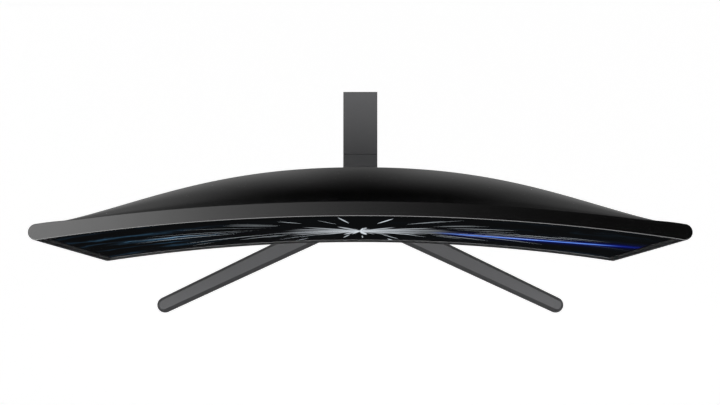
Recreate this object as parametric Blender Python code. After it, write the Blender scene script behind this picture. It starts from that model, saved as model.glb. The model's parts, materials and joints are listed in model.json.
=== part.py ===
"""Curved desktop computer monitor on a three-legged tilt stand.

Metres, +Z up, screen facing -Y, +X to the viewer's right. The origin is the
centre of the stand's footprint on the desk plane (z = 0).

Parts are placed in one of two ways:
  bent      angle about the upright bend axis, depth behind the front lip
            along the bend radius, height z (the layers of the head)
  straight  x, depth behind the front lip along +Y, height z (all the rest)
A span is a (low, high) pair.
"""
import bpy
import bmesh
from math import asin, cos, pi, radians, sin, sqrt
from mathutils import Vector


def around(centre, half):
    """Span reaching half to each side of centre."""
    return centre - half, centre + half


def grown(span, margin):
    """Span made longer by margin at both ends."""
    return span[0] - margin, span[1] + margin


# ------------------------------------------------------- driving dimensions
BEND_RADIUS = 1.800       # to the front lip
BEND_MID_DEPTH = 0.006    # depth at which an x is turned into a bend angle
HEAD_WIDTH = 0.5512       # over the rounded side edges
HEAD_HEIGHT = 0.3265
HEAD_BOTTOM = 0.0935
HEAD_TOP = HEAD_BOTTOM + HEAD_HEIGHT
RIM_DEPTH = 0.0125
INNER_Z = grown((HEAD_BOTTOM, HEAD_TOP), -0.0025)   # bezel and rear cover

HINGE_DEPTH, HINGE_Z = 0.0560, 0.2000
PIN_RADIUS, PIN_BORE_RADIUS = 0.0035, 0.00358
NECK_HALF_WIDTH = 0.01925

VESA_PITCH = 0.075
VESA_Z = 0.2375
VESA_POINTS = [(side * VESA_PITCH / 2, VESA_Z + level * VESA_PITCH / 2)
               for side in (-1, 1) for level in (-1, 1)]

COVER_SCREW_X = (-0.200, -0.110, 0.110, 0.200)
COVER_SCREW_DEPTH = 0.0068

# Stand footprint. An edge of a side leg runs at depth = start - slope * |x|.
LEG_REAR_EDGE = (0.0527, 0.4915)
LEG_FRONT_EDGE = (0.0270, 0.4614)
LEG_MIDDLE = tuple((rear + front) / 2 for rear, front in zip(LEG_REAR_EDGE, LEG_FRONT_EDGE))
LEG_ROOT_X = 0.0262
LEG_TIP_X = 0.2283
LEG_TIP_WIDTH_X = 0.215   # where the width of the tip is taken
REAR_LEG_END = 0.1760     # depth


def edge_depth(edge, x):
    return edge[0] - edge[1] * x


LEG_ALONG = Vector((1, -LEG_MIDDLE[1])).normalized()
LEG_ACROSS = Vector((-LEG_ALONG.y, LEG_ALONG.x))
TIP_RADIUS = 0.5 * LEG_ALONG.x * (edge_depth(LEG_REAR_EDGE, LEG_TIP_WIDTH_X)
                                  - edge_depth(LEG_FRONT_EDGE, LEG_TIP_WIDTH_X))
TIP_CENTRE = Vector((LEG_TIP_X - TIP_RADIUS, edge_depth(LEG_MIDDLE, LEG_TIP_X - TIP_RADIUS)))


def tip_arc(inset):
    """Rounded end of the right leg in plan (x, depth)."""
    turns = [-pi / 2 + pi * k / 8 for k in range(9)]
    return [TIP_CENTRE + (LEG_ALONG * cos(turn) + LEG_ACROSS * sin(turn)) * (TIP_RADIUS - inset)
            for turn in turns]


# y of the front lip, which puts the footprint's centre on the origin
SCREEN_Y = -(REAR_LEG_END + min(point.y for point in tip_arc(0.0))) / 2


# ---------------------------------------------------------- clear the scene
for old_object in list(bpy.data.objects):
    bpy.data.objects.remove(old_object, do_unlink=True)
for old_mesh in list(bpy.data.meshes):
    bpy.data.meshes.remove(old_mesh)


# ---------------------------------------------------------------- materials
def make_material(name, colour, roughness, metallic=0.0):
    material = bpy.data.materials.new(name)
    material.use_nodes = True
    inputs = material.node_tree.nodes["Principled BSDF"].inputs
    inputs["Base Color"].default_value = (*colour, 1)
    inputs["Roughness"].default_value = roughness
    inputs["Metallic"].default_value = metallic
    return material


RIM = make_material("rim_gloss_black", colour=(0.020, 0.020, 0.022), roughness=0.28)
BEZEL = make_material("bezel_dark", colour=(0.035, 0.035, 0.037), roughness=0.45)
GLASS = make_material("screen_glass", colour=(0.006, 0.007, 0.009), roughness=0.22)
COVER = make_material("cover_black", colour=(0.014, 0.014, 0.015), roughness=0.42)
STAND = make_material("stand_grey", colour=(0.105, 0.105, 0.110), roughness=0.50)
NECK = make_material("neck_grey", colour=(0.090, 0.090, 0.095), roughness=0.50)
STEEL = make_material("plated_steel", colour=(0.55, 0.56, 0.58), roughness=0.35, metallic=1.0)
SCREW = make_material("screw_black", colour=(0.04, 0.04, 0.045), roughness=0.40, metallic=1.0)
WHITE = make_material("diffuser_white", colour=(0.85, 0.86, 0.88), roughness=0.55)
ACRYLIC = make_material("acrylic", colour=(0.80, 0.84, 0.86), roughness=0.08)
BOARD = make_material("board_green", colour=(0.02, 0.12, 0.06), roughness=0.45)
CHIP = make_material("chip_black", colour=(0.02, 0.02, 0.02), roughness=0.50)
ALUMINIUM = make_material("aluminium_fin", colour=(0.70, 0.71, 0.72), roughness=0.40, metallic=1.0)
FILM = make_material("film_amber", colour=(0.45, 0.22, 0.04), roughness=0.35)
CABLE = make_material("cable_grey", colour=(0.30, 0.30, 0.32), roughness=0.55)
RUBBER = make_material("rubber_black", colour=(0.015, 0.015, 0.015), roughness=0.90)
NYLON = make_material("frame_nylon", colour=(0.78, 0.78, 0.76), roughness=0.55)
CLEAR = make_material("lens_clear", colour=(0.75, 0.80, 0.85), roughness=0.15)


# ------------------------------------------------------------------ placing
ACROSS, BACK, FORWARD, UP = (1, 0, 0), (0, 1, 0), (0, -1, 0), (0, 0, 1)


def at(x, depth, z):
    """World point of a straight placing."""
    return Vector((x, depth + SCREEN_Y, z))


def bend(angle, depth, z):
    """World point of a bent placing."""
    radius = BEND_RADIUS + depth
    return Vector((radius * sin(angle), SCREEN_Y - BEND_RADIUS + radius * cos(angle), z))


def angle_at(x):
    return asin(x / (BEND_RADIUS + BEND_MID_DEPTH))


def plan(point):
    """(x, straight depth) of a world point."""
    return point.x, point.y - SCREEN_Y


def half_circle(x, y, radius, start, steps, ends=False):
    """Points of a half turn from the angle start, with or without its two ends."""
    numbers = range(steps + 1) if ends else range(1, steps)
    turns = [start + pi * k / steps for k in numbers]
    return [(x + radius * cos(turn), y + radius * sin(turn)) for turn in turns]


# --------------------------------------------------------- solids and tools
def link(name, data):
    ob = bpy.data.objects.new(name, data)
    bpy.context.scene.collection.objects.link(ob)
    return ob


def make(name, verts, faces, material, smooth=False):
    mesh = bpy.data.meshes.new(name)
    bm = bmesh.new()
    corners = [bm.verts.new(vert) for vert in verts]
    for face in faces:
        bm.faces.new([corners[i] for i in face])
    bmesh.ops.recalc_face_normals(bm, faces=bm.faces)
    bm.to_mesh(mesh)
    bm.free()
    mesh.materials.append(material)
    if smooth:
        mesh.shade_smooth()
        mesh.set_sharp_from_angle(angle=radians(35))
    return link(name, mesh)


def skin(name, rings, material):
    """Solid skinned over rings of equal length, closed at both ends."""
    size = len(rings[0])
    last = (len(rings) - 1) * size
    faces = [tuple(range(size)), tuple(range(last, last + size))]
    for near in range(0, last, size):
        far = near + size
        for i in range(size):
            following = (i + 1) % size
            faces.append((near + i, near + following, far + following, far + i))
    return make(name, [point for ring in rings for point in ring], faces, material)


def bent_solid(name, x_span, outline, material, segments):
    """Outline of (bent depth, z) swept along the bend."""
    start, end = (angle_at(x) for x in x_span)
    angles = [start + (end - start) * i / segments for i in range(segments + 1)]
    rings = [[bend(angle, depth, z) for depth, z in outline] for angle in angles]
    return skin(name, rings, material)


def curved_box(name, x_span, depth_span, z_span, material=STEEL, segments=18):
    """Block that follows the bend."""
    front, rear = depth_span
    low, high = z_span
    outline = [(front, low), (rear, low), (rear, high), (front, high)]
    return bent_solid(name, x_span, outline, material, segments)


BOX_FACES = [(0, 1, 3, 2), (4, 5, 7, 6), (0, 1, 5, 4), (2, 3, 7, 6), (0, 2, 6, 4), (1, 3, 7, 5)]


def box(name, x_span, depth_span, z_span, material=STEEL):
    """Straight block."""
    verts = [at(x, depth, z) for x in x_span for depth in depth_span for z in z_span]
    return make(name, verts, BOX_FACES, material)


def loft_z(name, heights, section, material):
    """Solid over the plan sections section(z) -> [(x, depth)] at the heights."""
    return skin(name, [[at(x, depth, z) for x, depth in section(z)] for z in heights], material)


def prism_z(name, outline, z_span, material=STEEL):
    """Plan outline (x, depth) drawn up."""
    return loft_z(name, z_span, lambda z: outline, material)


def prism_x(name, outline, x_span, material=STEEL):
    """Side outline (depth, z) drawn across."""
    return skin(name, [[at(x, depth, z) for depth, z in outline] for x in x_span], material)


def prism_y(name, outline, depth_span, material=STEEL):
    """Front outline (x, z) drawn back."""
    return skin(name, [[at(x, depth, z) for x, z in outline] for depth in depth_span], material)


def turned(name, profile, origin, axis, segments=24, material=STEEL):
    """Solid of revolution; profile is (radius, distance along the axis).

    The profile starts and ends on the axis, or closes on itself as a ring.
    """
    axis = Vector(axis).normalized()
    helper_axis = Vector(UP) if abs(axis.z) < 0.9 else Vector(ACROSS)
    side_a = axis.cross(helper_axis).normalized()
    side_b = axis.cross(side_a)
    origin = Vector(origin)
    verts, faces, rows = [], [], []
    for radius, distance in profile:
        centre = origin + axis * distance
        first = len(verts)
        if radius < 1e-9:
            verts.append(centre)
        else:
            for k in range(segments):
                turn = 2 * pi * k / segments
                verts.append(centre + (side_a * cos(turn) + side_b * sin(turn)) * radius)
        rows.append(range(first, len(verts)))
    is_ring = profile[0][0] > 1e-9
    next_rows = rows[1:] + rows[:1] if is_ring else rows[1:]
    for row, next_row in zip(rows, next_rows):
        for k in range(segments):
            j = (k + 1) % segments
            if len(row) == 1:
                faces.append((row[0], next_row[k], next_row[j]))
            elif len(next_row) == 1:
                faces.append((row[k], row[j], next_row[0]))
            else:
                faces.append((row[k], row[j], next_row[j], next_row[k]))
    return make(name, verts, faces, material, smooth=True)


def rod(name, origin, axis, radius, length, segments=20):
    profile = [(0, 0), (radius, 0), (radius, length), (0, length)]
    return turned(name, profile, origin, axis, segments)


def ribbon_outline(path, thickness):
    """Outline of a strip of even thickness, mitred along a 2D path."""
    points = [Vector(point) for point in path]
    steps = [(end - start).normalized() for start, end in zip(points, points[1:])]
    left, right = [], []
    for point, before, after in zip(points, steps[:1] + steps, steps + steps[-1:]):
        along = (before + after).normalized()
        normal = Vector((-along.y, along.x))
        mitre = 1 / max(0.5, normal.dot(Vector((-before.y, before.x))))
        left.append(point + normal * thickness / 2 * mitre)
        right.append(point - normal * thickness / 2 * mitre)
    return left + right[::-1]


def combine(ob, tools, operation):
    for tool in tools:
        tool.hide_render = True
        tool.display_type = "WIRE"
        modifier = ob.modifiers.new(operation[:4].lower(), "BOOLEAN")
        modifier.operation = operation
        modifier.solver = "EXACT"
        modifier.object = tool


def subtract(ob, *tools):
    combine(ob, tools, "DIFFERENCE")


def unite(ob, *tools):
    combine(ob, tools, "UNION")


# ======================================================== HEAD: rim and panel
RIM_FLARE = 0.0012             # extra depth of the rim at its rounded sides
RIM_FLARE_X = (0.2280, 0.2600)   # where that depth begins and is reached
RIM_WALL = 0.0022
RIM_INSIDE_X = 0.2665          # where the rim's side bars end inside
# stations of the rear edge, as a share of the angle of the rounded end
RIM_REAR_STEPS = (1.0, 0.97, 0.94, 0.91, 0.88, 0.85, 0.82, 0.73, 0.64, 0.55,
                  0.46, 0.37, 0.28, 0.18, 0.09)
LED_X, LED_DEPTH = 0.228, 0.0050
LED_HALF_WIDTH, LED_HALF_DEPTH = 0.0020, 0.0010
LED_GAP = 0.0004

PICTURE_WIDTH, PICTURE_HEIGHT = 0.5214, 0.2933
PICTURE_BOTTOM = HEAD_BOTTOM + 0.0235
OPENING_HALF = PICTURE_WIDTH / 2 + 0.0008
OPENING_Z = grown((PICTURE_BOTTOM, PICTURE_BOTTOM + PICTURE_HEIGHT), 0.0008)
CELL_GAP = 0.0003

GUIDE_HALF = 0.2600            # light guide and sheets
GUIDE_Z = (0.1165, 0.4105)
MOLD_Z = (0.1050, 0.4140)
PAN_HALF, PAN_Z = 0.2652, (0.1036, 0.4153)
PAN_SHEET = 0.0009

# name, x span, bent depth span, z span, material, segments
PLAIN_LAYERS = (
    ("lcd_cell", around(0, OPENING_HALF - CELL_GAP), (0.0010, 0.0024),
     grown(OPENING_Z, -CELL_GAP), GLASS, 18),
    ("optical_sheets", around(0, GUIDE_HALF), (0.0032, 0.0039), GUIDE_Z, WHITE, 16),
    ("light_guide", around(0, GUIDE_HALF), (0.0042, 0.0068), GUIDE_Z, ACRYLIC, 16),
    ("reflector_sheet", around(0, GUIDE_HALF), (0.0071, 0.0074), (0.1085, GUIDE_Z[1]), WHITE, 16),
    ("source_board", (-0.1350, 0.1000), (0.0096, 0.0106), (0.1080, 0.1200), BOARD, 10),
)
# name, half width, bent depth span, z span, material; then the same for its cut
FRAME_LAYERS = (
    ("front_bezel", 0.2662, (0.0007, 0.0024), INNER_Z, BEZEL,
     "cut_bezel", OPENING_HALF, (-0.004, 0.008), OPENING_Z),
    ("mold_frame", 0.2638, (0.0032, 0.0072), MOLD_Z, NYLON,
     "cut_mold", 0.2604, (0.0, 0.012), grown(MOLD_Z, -0.0030)),
    ("panel_chassis", PAN_HALF, (0.0034, 0.0086), PAN_Z, STEEL,
     "cut_pan", PAN_HALF - PAN_SHEET, (-0.002, 0.0078), grown(PAN_Z, -PAN_SHEET)),
)


def rim_rear_depth(angle):
    """Bent depth of the rim's rear edge, easing into the flare."""
    start, end = RIM_FLARE_X
    share = (BEND_RADIUS * sin(abs(angle)) - start) / (end - start)
    share = min(1.0, max(0.0, share))
    return RIM_DEPTH + RIM_FLARE * share * share * (3 - 2 * share)


def rim_outline():
    """Bent plan outline with fully rounded sides."""
    radius = (RIM_DEPTH + RIM_FLARE) / 2
    end = asin((HEAD_WIDTH / 2 - radius) / (BEND_RADIUS + radius))
    x, depth = plan(bend(end, radius, 0))
    front = [-end + 2 * end * i / 18 for i in range(19)]
    rear = [end * step for step in RIM_REAR_STEPS]
    rear = [*rear, 0.0, *(-angle for angle in reversed(rear))]
    return [*(plan(bend(angle, 0.0, 0)) for angle in front),
            *half_circle(x, depth, radius, -pi / 2 - end, 8),
            *(plan(bend(angle, rim_rear_depth(angle), 0)) for angle in rear),
            *half_circle(-x, depth, radius, pi / 2 + end, 8)]


def cover_screw_point(x, z):
    return bend(angle_at(x), COVER_SCREW_DEPTH, z)


def build_middle_frame():
    z_span = (HEAD_BOTTOM, HEAD_TOP)
    frame = prism_z("middle_frame", rim_outline(), z_span, RIM)
    subtract(frame, curved_box("cut_rim_inside", around(0, RIM_INSIDE_X),
                               (-0.010, RIM_DEPTH + 0.010), grown(z_span, -RIM_WALL)))
    stepped_hole = [(0, 0), (0.0029, 0), (0.0029, 0.00345), (0.0017, 0.00345),
                    (0.0017, 0.009), (0, 0.009)]
    for i, x in enumerate(COVER_SCREW_X):
        subtract(frame, turned(f"cut_rim_screw_{i}", stepped_hole,
                               cover_screw_point(x, HEAD_BOTTOM - 0.002), UP, 12))
    x, depth = plan(bend(angle_at(LED_X), LED_DEPTH, 0))
    subtract(frame, box("cut_rim_led", around(x, LED_HALF_WIDTH + LED_GAP),
                        around(depth, LED_HALF_DEPTH + LED_GAP),
                        (HEAD_BOTTOM - 0.002, HEAD_BOTTOM + 0.004)))
    box("power_led_lens", around(x, LED_HALF_WIDTH), around(depth, LED_HALF_DEPTH),
        (HEAD_BOTTOM + 0.0001, HEAD_BOTTOM + 0.0036), CLEAR)


def build_panel_layers():
    for name, x_span, depth_span, z_span, material, segments in PLAIN_LAYERS:
        curved_box(name, x_span, depth_span, z_span, material, segments)
    for name, half, depths, z_span, material, cut, cut_half, cut_depths, cut_z in FRAME_LAYERS:
        layer = curved_box(name, around(0, half), depths, z_span, material)
        subtract(layer, curved_box(cut, around(0, cut_half), cut_depths, cut_z))


def build_led_bar():
    """Strip below the light guide with a row of LED packages on top."""
    led_count = 18
    led_half_angle = 0.0016
    front, rear = 0.0043, 0.0067
    bottom, top, led_top = 0.1090, 0.1130, 0.1145
    end = angle_at(0.2560)
    stations = [-end]
    for i in range(led_count):
        stations += around(-end + 2 * end * (i + 0.5) / led_count, led_half_angle)
    stations.append(end)

    verts, faces = [], []
    for angle in stations:
        verts += [bend(angle, front, bottom), bend(angle, rear, bottom),
                  bend(angle, rear, top), bend(angle, front, top)]
    for i in range(len(stations) - 1):
        near, far = 4 * i, 4 * i + 4
        faces += [(near, near + 1, far + 1, far), (near + 1, near + 2, far + 2, far + 1),
                  (near + 3, near, far, far + 3)]
        if i % 2 == 0:
            # bare strip between two packages
            faces.append((near + 2, near + 3, far + 3, far + 2))
            continue
        led = len(verts)
        for angle in stations[i:i + 2]:
            verts += [bend(angle, rear, led_top), bend(angle, front, led_top)]
        faces += [(led, led + 1, led + 3, led + 2),
                  (near + 2, near + 3, led + 1, led), (far + 2, far + 3, led + 3, led + 2),
                  (near + 2, far + 2, led + 2, led), (near + 3, far + 3, led + 3, led + 1)]
    last = 4 * (len(stations) - 1)
    faces += [(0, 1, 2, 3), tuple(last + k for k in range(4))]
    make("led_bar", verts, faces, WHITE)


def build_cof_films():
    """Two films folded under the panel, from the cell to the source board."""
    # both sides of the fold: (bent depth, z)
    outer = [(0.0027, 0.1185), (0.0027, 0.1008), (0.0034, 0.1000), (0.0084, 0.1000),
             (0.0094, 0.1008), (0.0094, 0.1075), (0.0110, 0.1075), (0.0110, 0.1120)]
    inner = [(0.0029, 0.1185), (0.0029, 0.1010), (0.0036, 0.1002), (0.0082, 0.1002),
             (0.0092, 0.1010), (0.0092, 0.1077), (0.0108, 0.1077), (0.0108, 0.1120)]
    for side, x in (("left", -0.0650), ("right", 0.0650)):
        bent_solid(f"cof_film_{side}", around(x, 0.011), outer + inner[::-1], FILM, 4)


# ========================================================== HEAD: rear cover
COVER_HALF_WIDTH = 0.2660
COVER_WALL = 0.0024
BULGE = 0.0458            # how far the cover stands behind the rim
BULGE_HALF_WIDTH = 0.2625
BULGE_POWER, BULGE_ROUNDNESS = 2.40, 1.08   # inner and outer power across the width
BULGE_Z = 0.2340          # height of the deepest point
DOME_X = [0, .045, .085, .120, .150, .178, .204, .228, .248, BULGE_HALF_WIDTH, COVER_HALF_WIDTH]
DOME_X = [-x for x in reversed(DOME_X[1:])] + DOME_X
# height stations, as a share of the way from BULGE_Z to the edge
DOME_RISE = [0, .25, .48, .68, .84, .95, 1.0]

TRAY_WALL = 0.0022        # side walls of the recesses
CUT_REAR = 0.090          # depth clear behind the cover
FLOOR_DEPTH = 0.0355      # floor of the stand recess
BAY_DEPTH = 0.0315        # floor of the connector recess
# name, x span, z span, floor depth
RECESSES = (
    ("sq", (-0.0520, 0.0520), (0.1860, 0.2900), FLOOR_DEPTH),
    ("ch", (-0.0260, 0.0260), (0.0800, 0.1900), FLOOR_DEPTH),
    ("bay", (-0.1350, -0.0620), (0.1660, 0.1940), BAY_DEPTH),
)
VENT_X = (0.0680, 0.1480)
VENT_BOTTOM, VENT_PITCH, VENT_HEIGHT, VENT_COUNT = 0.2620, 0.0080, 0.0030, 4

PORT_Z = 0.1800
DC_X, HDMI_X, DISPLAYPORT_X, AUDIO_X = -0.1260, -0.1060, -0.0850, -0.0685
PORT_CUT_DEPTH = 0.0270
PORT_CUT_LENGTH = 0.010

# joystick control on the back, square to the bend where it stands
JOG_X, JOG_Z = 0.2050, 0.1250
JOG_ANGLE = asin(JOG_X / (BEND_RADIUS + 0.016))
JOG_ORIGIN = bend(JOG_ANGLE, 0, JOG_Z)
JOG_AXIS = Vector((sin(JOG_ANGLE), cos(JOG_ANGLE), 0))
JOG_SIDEWAYS = Vector((cos(JOG_ANGLE), -sin(JOG_ANGLE), 0))
JOG_RECESS_HALF = 0.0110
JOG_FLOOR = 0.0160        # bent depths
JOG_PIVOT = 0.0155


def dome(x, z, inset):
    """How far the dome stands behind its base at x, z."""
    low, high = grown(INNER_Z, -inset)
    across = min(1.0, abs(x) / (BULGE_HALF_WIDTH - inset))
    up = (z - BULGE_Z) / ((high - BULGE_Z) if z > BULGE_Z else (BULGE_Z - low))
    up = min(1.0, abs(up))
    bell = (1 - across ** BULGE_POWER) ** BULGE_ROUNDNESS
    return BULGE * bell * sqrt(max(0.0, 1 - up * up))


def dome_solid(name, front_depth, base_depth, inset):
    """Closed block with a flat bent front and a domed back."""
    low, high = grown(INNER_Z, -inset)
    columns = [x * (COVER_HALF_WIDTH - inset) / COVER_HALF_WIDTH for x in DOME_X]
    rows = [BULGE_Z - (BULGE_Z - low) * rise for rise in reversed(DOME_RISE[1:])]
    rows += [BULGE_Z + (high - BULGE_Z) * rise for rise in DOME_RISE]
    height = len(rows)
    steps = len(columns) - 1
    verts = [bend(angle_at(x), base_depth + dome(x, z, inset), z) for x in columns for z in rows]
    faces = []
    for i in range(steps):
        for j in range(height - 1):
            a = i * height + j
            faces += [(a, a + height, a + height + 1), (a, a + height + 1, a + 1)]
    front = len(verts)
    verts += [bend(angle_at(x), front_depth, z) for x in columns for z in (low, high)]
    for i in range(steps):
        a = front + 2 * i
        near, far = i * height, (i + 1) * height
        faces += [(a, a + 1, a + 3, a + 2),
                  (a, a + 2, far, near),
                  (a + 1, a + 3, far + height - 1, near + height - 1)]
    for i in (0, steps):
        a = front + 2 * i
        faces.append((a, *range(i * height, (i + 1) * height), a + 1))
    return make(name, verts, faces, COVER, smooth=True)


def jog_box(name, half, depth_span, material=COVER):
    """Square block along the joystick's axis."""
    verts = [JOG_ORIGIN + JOG_SIDEWAYS * side * half + JOG_AXIS * depth
             + Vector((0, 0, level * half))
             for side in (-1, 1) for depth in depth_span for level in (-1, 1)]
    return make(name, verts, BOX_FACES, material)


def build_cover_hollow():
    """Inside of the cover, less the material kept for the recess trays."""
    hollow = dome_solid("cover_hollow", -0.012, RIM_DEPTH - COVER_WALL, COVER_WALL)
    for name, x_span, z_span, floor in RECESSES:
        subtract(hollow, box(f"keep_{name}", grown(x_span, TRAY_WALL),
                             (floor - COVER_WALL, CUT_REAR), grown(z_span, TRAY_WALL)))
    subtract(hollow, jog_box("keep_jog", JOG_RECESS_HALF + TRAY_WALL,
                             (JOG_FLOOR - COVER_WALL, 0.060)))
    return hollow


def cut_recesses(cover):
    for name, x_span, z_span, floor in RECESSES:
        subtract(cover, box(f"cut_{name}", x_span, (floor, CUT_REAR), z_span))
    subtract(cover, jog_box("cut_jog", JOG_RECESS_HALF, (JOG_FLOOR, 0.062)),
             rod("cut_jog_hole", bend(JOG_ANGLE, 0.0105, JOG_Z), JOG_AXIS, 0.0063, 0.012, 24))


def cut_holes(cover):
    for i, (x, z) in enumerate(VESA_POINTS):
        subtract(cover, rod(f"cut_vesa_{i}", at(x, 0.030, z), BACK, 0.0025, 0.010, 16))
    for name, x, radius in (("dc", DC_X, 0.0049), ("audio", AUDIO_X, 0.0039)):
        subtract(cover, rod(f"cut_{name}", at(x, PORT_CUT_DEPTH, PORT_Z), BACK,
                            radius, PORT_CUT_LENGTH))
    for name, x in (("hdmi", HDMI_X), ("dp", DISPLAYPORT_X)):
        subtract(cover, box(f"cut_{name}", around(x, 0.0083),
                            (PORT_CUT_DEPTH, PORT_CUT_DEPTH + PORT_CUT_LENGTH),
                            around(PORT_Z, 0.0034)))
    for k in range(VENT_COUNT):
        bottom = VENT_BOTTOM + k * VENT_PITCH
        for side, x_span in (("r", VENT_X), ("l", (-VENT_X[1], -VENT_X[0]))):
            subtract(cover, box(f"cut_vent_{side}{k}", x_span, (0.020, CUT_REAR),
                                (bottom, bottom + VENT_HEIGHT)))
    subtract(cover, box("cut_lock", (0.1465, 0.1535), (0.010, CUT_REAR), (0.1385, 0.1420)))


def build_rear_cover():
    cover = dome_solid("rear_cover", RIM_DEPTH - COVER_WALL, RIM_DEPTH, 0.0)
    subtract(cover, build_cover_hollow())
    for i, x in enumerate(COVER_SCREW_X):
        unite(cover, curved_box(f"boss_{i}", around(x, 0.0042), (0.0042, 0.0112),
                                (INNER_Z[0] + 0.0004, 0.1024), COVER, 1))
    cut_recesses(cover)
    cut_holes(cover)
    for i, x in enumerate(COVER_SCREW_X):
        subtract(cover, rod(f"cut_pilot_{i}", cover_screw_point(x, HEAD_BOTTOM), UP,
                            0.0015, 0.0082, 12))


def build_cover_screws():
    """Screws driven up through the bottom of the rim into the cover's bosses."""
    profile = [(0, 0), (0.0022, 0), (0.0026, 0.0004), (0.0026, 0.0010), (0.0012, 0.0011),
               (0.0012, 0.0068), (0.0006, 0.0076), (0, 0.0076)]
    for i, x in enumerate(COVER_SCREW_X, 1):
        turned(f"cover_screw_{i}", profile, cover_screw_point(x, HEAD_BOTTOM + 0.0001), UP,
               12, SCREW)


# ================================================== HEAD: chassis and boards
CHASSIS_X = (-0.1600, 0.0620)
CHASSIS_Z = (0.1650, 0.2880)
CHASSIS_SHEET = 0.0012
POST_DEPTH = 0.0180       # where the posts start, inside the sheet
BOARD_POSTS = ((-0.150, 0.170), (-0.055, 0.170), (-0.150, 0.246), (-0.055, 0.246))   # x, z
MOUNTED_DEPTH = 0.0244    # front of the parts on the main board
SINK_X = (-0.1010, -0.0770)
SINK_FIN_COUNT = 6
RIBBON_THICKNESS = 0.0004


def build_inner_chassis():
    """Sheet with two side flanges, mounting posts and board posts."""
    left, right = CHASSIS_X
    chassis = box("inner_chassis", CHASSIS_X, (0.0175, 0.0187), CHASSIS_Z)
    unite(chassis,
          box("chassis_flange_r", (right - CHASSIS_SHEET, right), (0.0090, POST_DEPTH), CHASSIS_Z),
          box("chassis_flange_l", (left, left + CHASSIS_SHEET), (0.0030, POST_DEPTH), CHASSIS_Z))
    for i, (x, z) in enumerate(VESA_POINTS):
        unite(chassis, rod(f"vesa_post_{i}", at(x, POST_DEPTH, z), BACK, 0.0045, 0.0147, 14))
    for i, (x, z) in enumerate(BOARD_POSTS):
        unite(chassis, rod(f"board_post_{i}", at(x, POST_DEPTH, z), BACK, 0.0022, 0.0042, 12))
    for i, (x, z) in enumerate(VESA_POINTS):
        subtract(chassis, rod(f"cut_post_{i}", at(x, 0.0215, z), BACK, 0.00215, 0.020, 12))


def build_heat_sink():
    """Plate at the front with upright fins standing back from it."""
    plate_front, fin_root, fin_end = 0.0259, 0.0275, 0.0340
    left, right = SINK_X
    step = (right - left) / (2 * SINK_FIN_COUNT - 1)
    outline = [(left, plate_front), (right, plate_front)]
    for k in range(SINK_FIN_COUNT):
        x = right - 2 * k * step
        outline += [(x, fin_end), (x - step, fin_end)]
        if k < SINK_FIN_COUNT - 1:
            outline += [(x - step, fin_root), (x - 2 * step, fin_root)]
    prism_z("heat_sink", outline, (0.2070, 0.2310), ALUMINIUM)


def build_main_board():
    box("main_board", (-0.1550, -0.0500), (0.0225, 0.0241), (0.1580, 0.2500), BOARD)
    box("scaler_chip", (-0.1000, -0.0780), (MOUNTED_DEPTH, 0.0256), (0.2080, 0.2300), CHIP)
    build_heat_sink()
    turned("capacitor", [(0, 0), (0.0045, 0), (0.0045, 0.0010), (0.0041, 0.0016),
                         (0.0045, 0.0022), (0.0045, 0.0118), (0, 0.0118)],
           at(-0.1290, MOUNTED_DEPTH, 0.2270), BACK, 16, CHIP)


def build_socket(name, x, tongue_z, notch):
    """Metal shell with its lower corners cut off and a tongue inside."""
    half_width, half_height, wall = 0.0078, 0.0029, 0.0005

    def outline(inset):
        wide = half_width - inset
        tall = half_height - inset
        right = [(half_width - notch, -tall), (wide, notch - half_height), (wide, tall)]
        left = [(-across, up) for across, up in reversed(right)]
        return [(x + across, PORT_Z + up) for across, up in left + right]

    shell = prism_y(name, outline(0.0), (MOUNTED_DEPTH, 0.0318))
    subtract(shell, prism_y(f"cut_{name}", outline(wall), (0.0258, 0.0340)))
    unite(shell, box(f"tongue_{name}", around(x, 0.0055), (0.0250, 0.0310),
                     around(PORT_Z + tongue_z, 0.0006)))


def build_connectors():
    """Connectors on the main board, looking out of the connector recess."""
    turned("dc_jack", [(0, 0), (0.0045, 0), (0.0045, 0.0072), (0.0031, 0.0072),
                       (0.0031, 0.0012), (0.0011, 0.0012), (0.0011, 0.0064), (0, 0.0064)],
           at(DC_X, MOUNTED_DEPTH, PORT_Z), BACK, 20, CHIP)
    turned("audio_jack", [(0.0035, 0), (0.0035, 0.0074), (0.0019, 0.0074), (0.0019, 0)],
           at(AUDIO_X, MOUNTED_DEPTH, PORT_Z), BACK, 20, CHIP)
    build_socket("hdmi_port", HDMI_X, tongue_z=0.0003, notch=0.0014)
    build_socket("displayport", DISPLAYPORT_X, tongue_z=0.0006, notch=0.0020)


def build_display_cable():
    """Flat lead from the source board up to the main board."""
    start = 0.0116 + plan(bend(angle_at(-0.090), 0, 0))[1]
    path = [(start, 0.1100), (start, 0.1300), (0.0150, 0.1420), (0.0218, 0.1520),
            (0.0218, 0.1640)]
    prism_x("display_cable", ribbon_outline(path, RIBBON_THICKNESS), (-0.0970, -0.0830), CABLE)


def build_key_cable():
    """Flat lead along the bend from the joystick board to the main board."""
    start_x, end_x, steps = 0.196, -0.050, 10
    path = [plan(bend(angle_at(start_x - (start_x - end_x) * i / steps), 0.0104, 0))
            for i in range(steps + 1)]
    path += [(-0.0560, 0.0120), (-0.0600, 0.0180), (-0.0604, 0.0220)]
    prism_z("key_cable", ribbon_outline(path, RIBBON_THICKNESS), (0.1590, 0.1640), CABLE)


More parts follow.
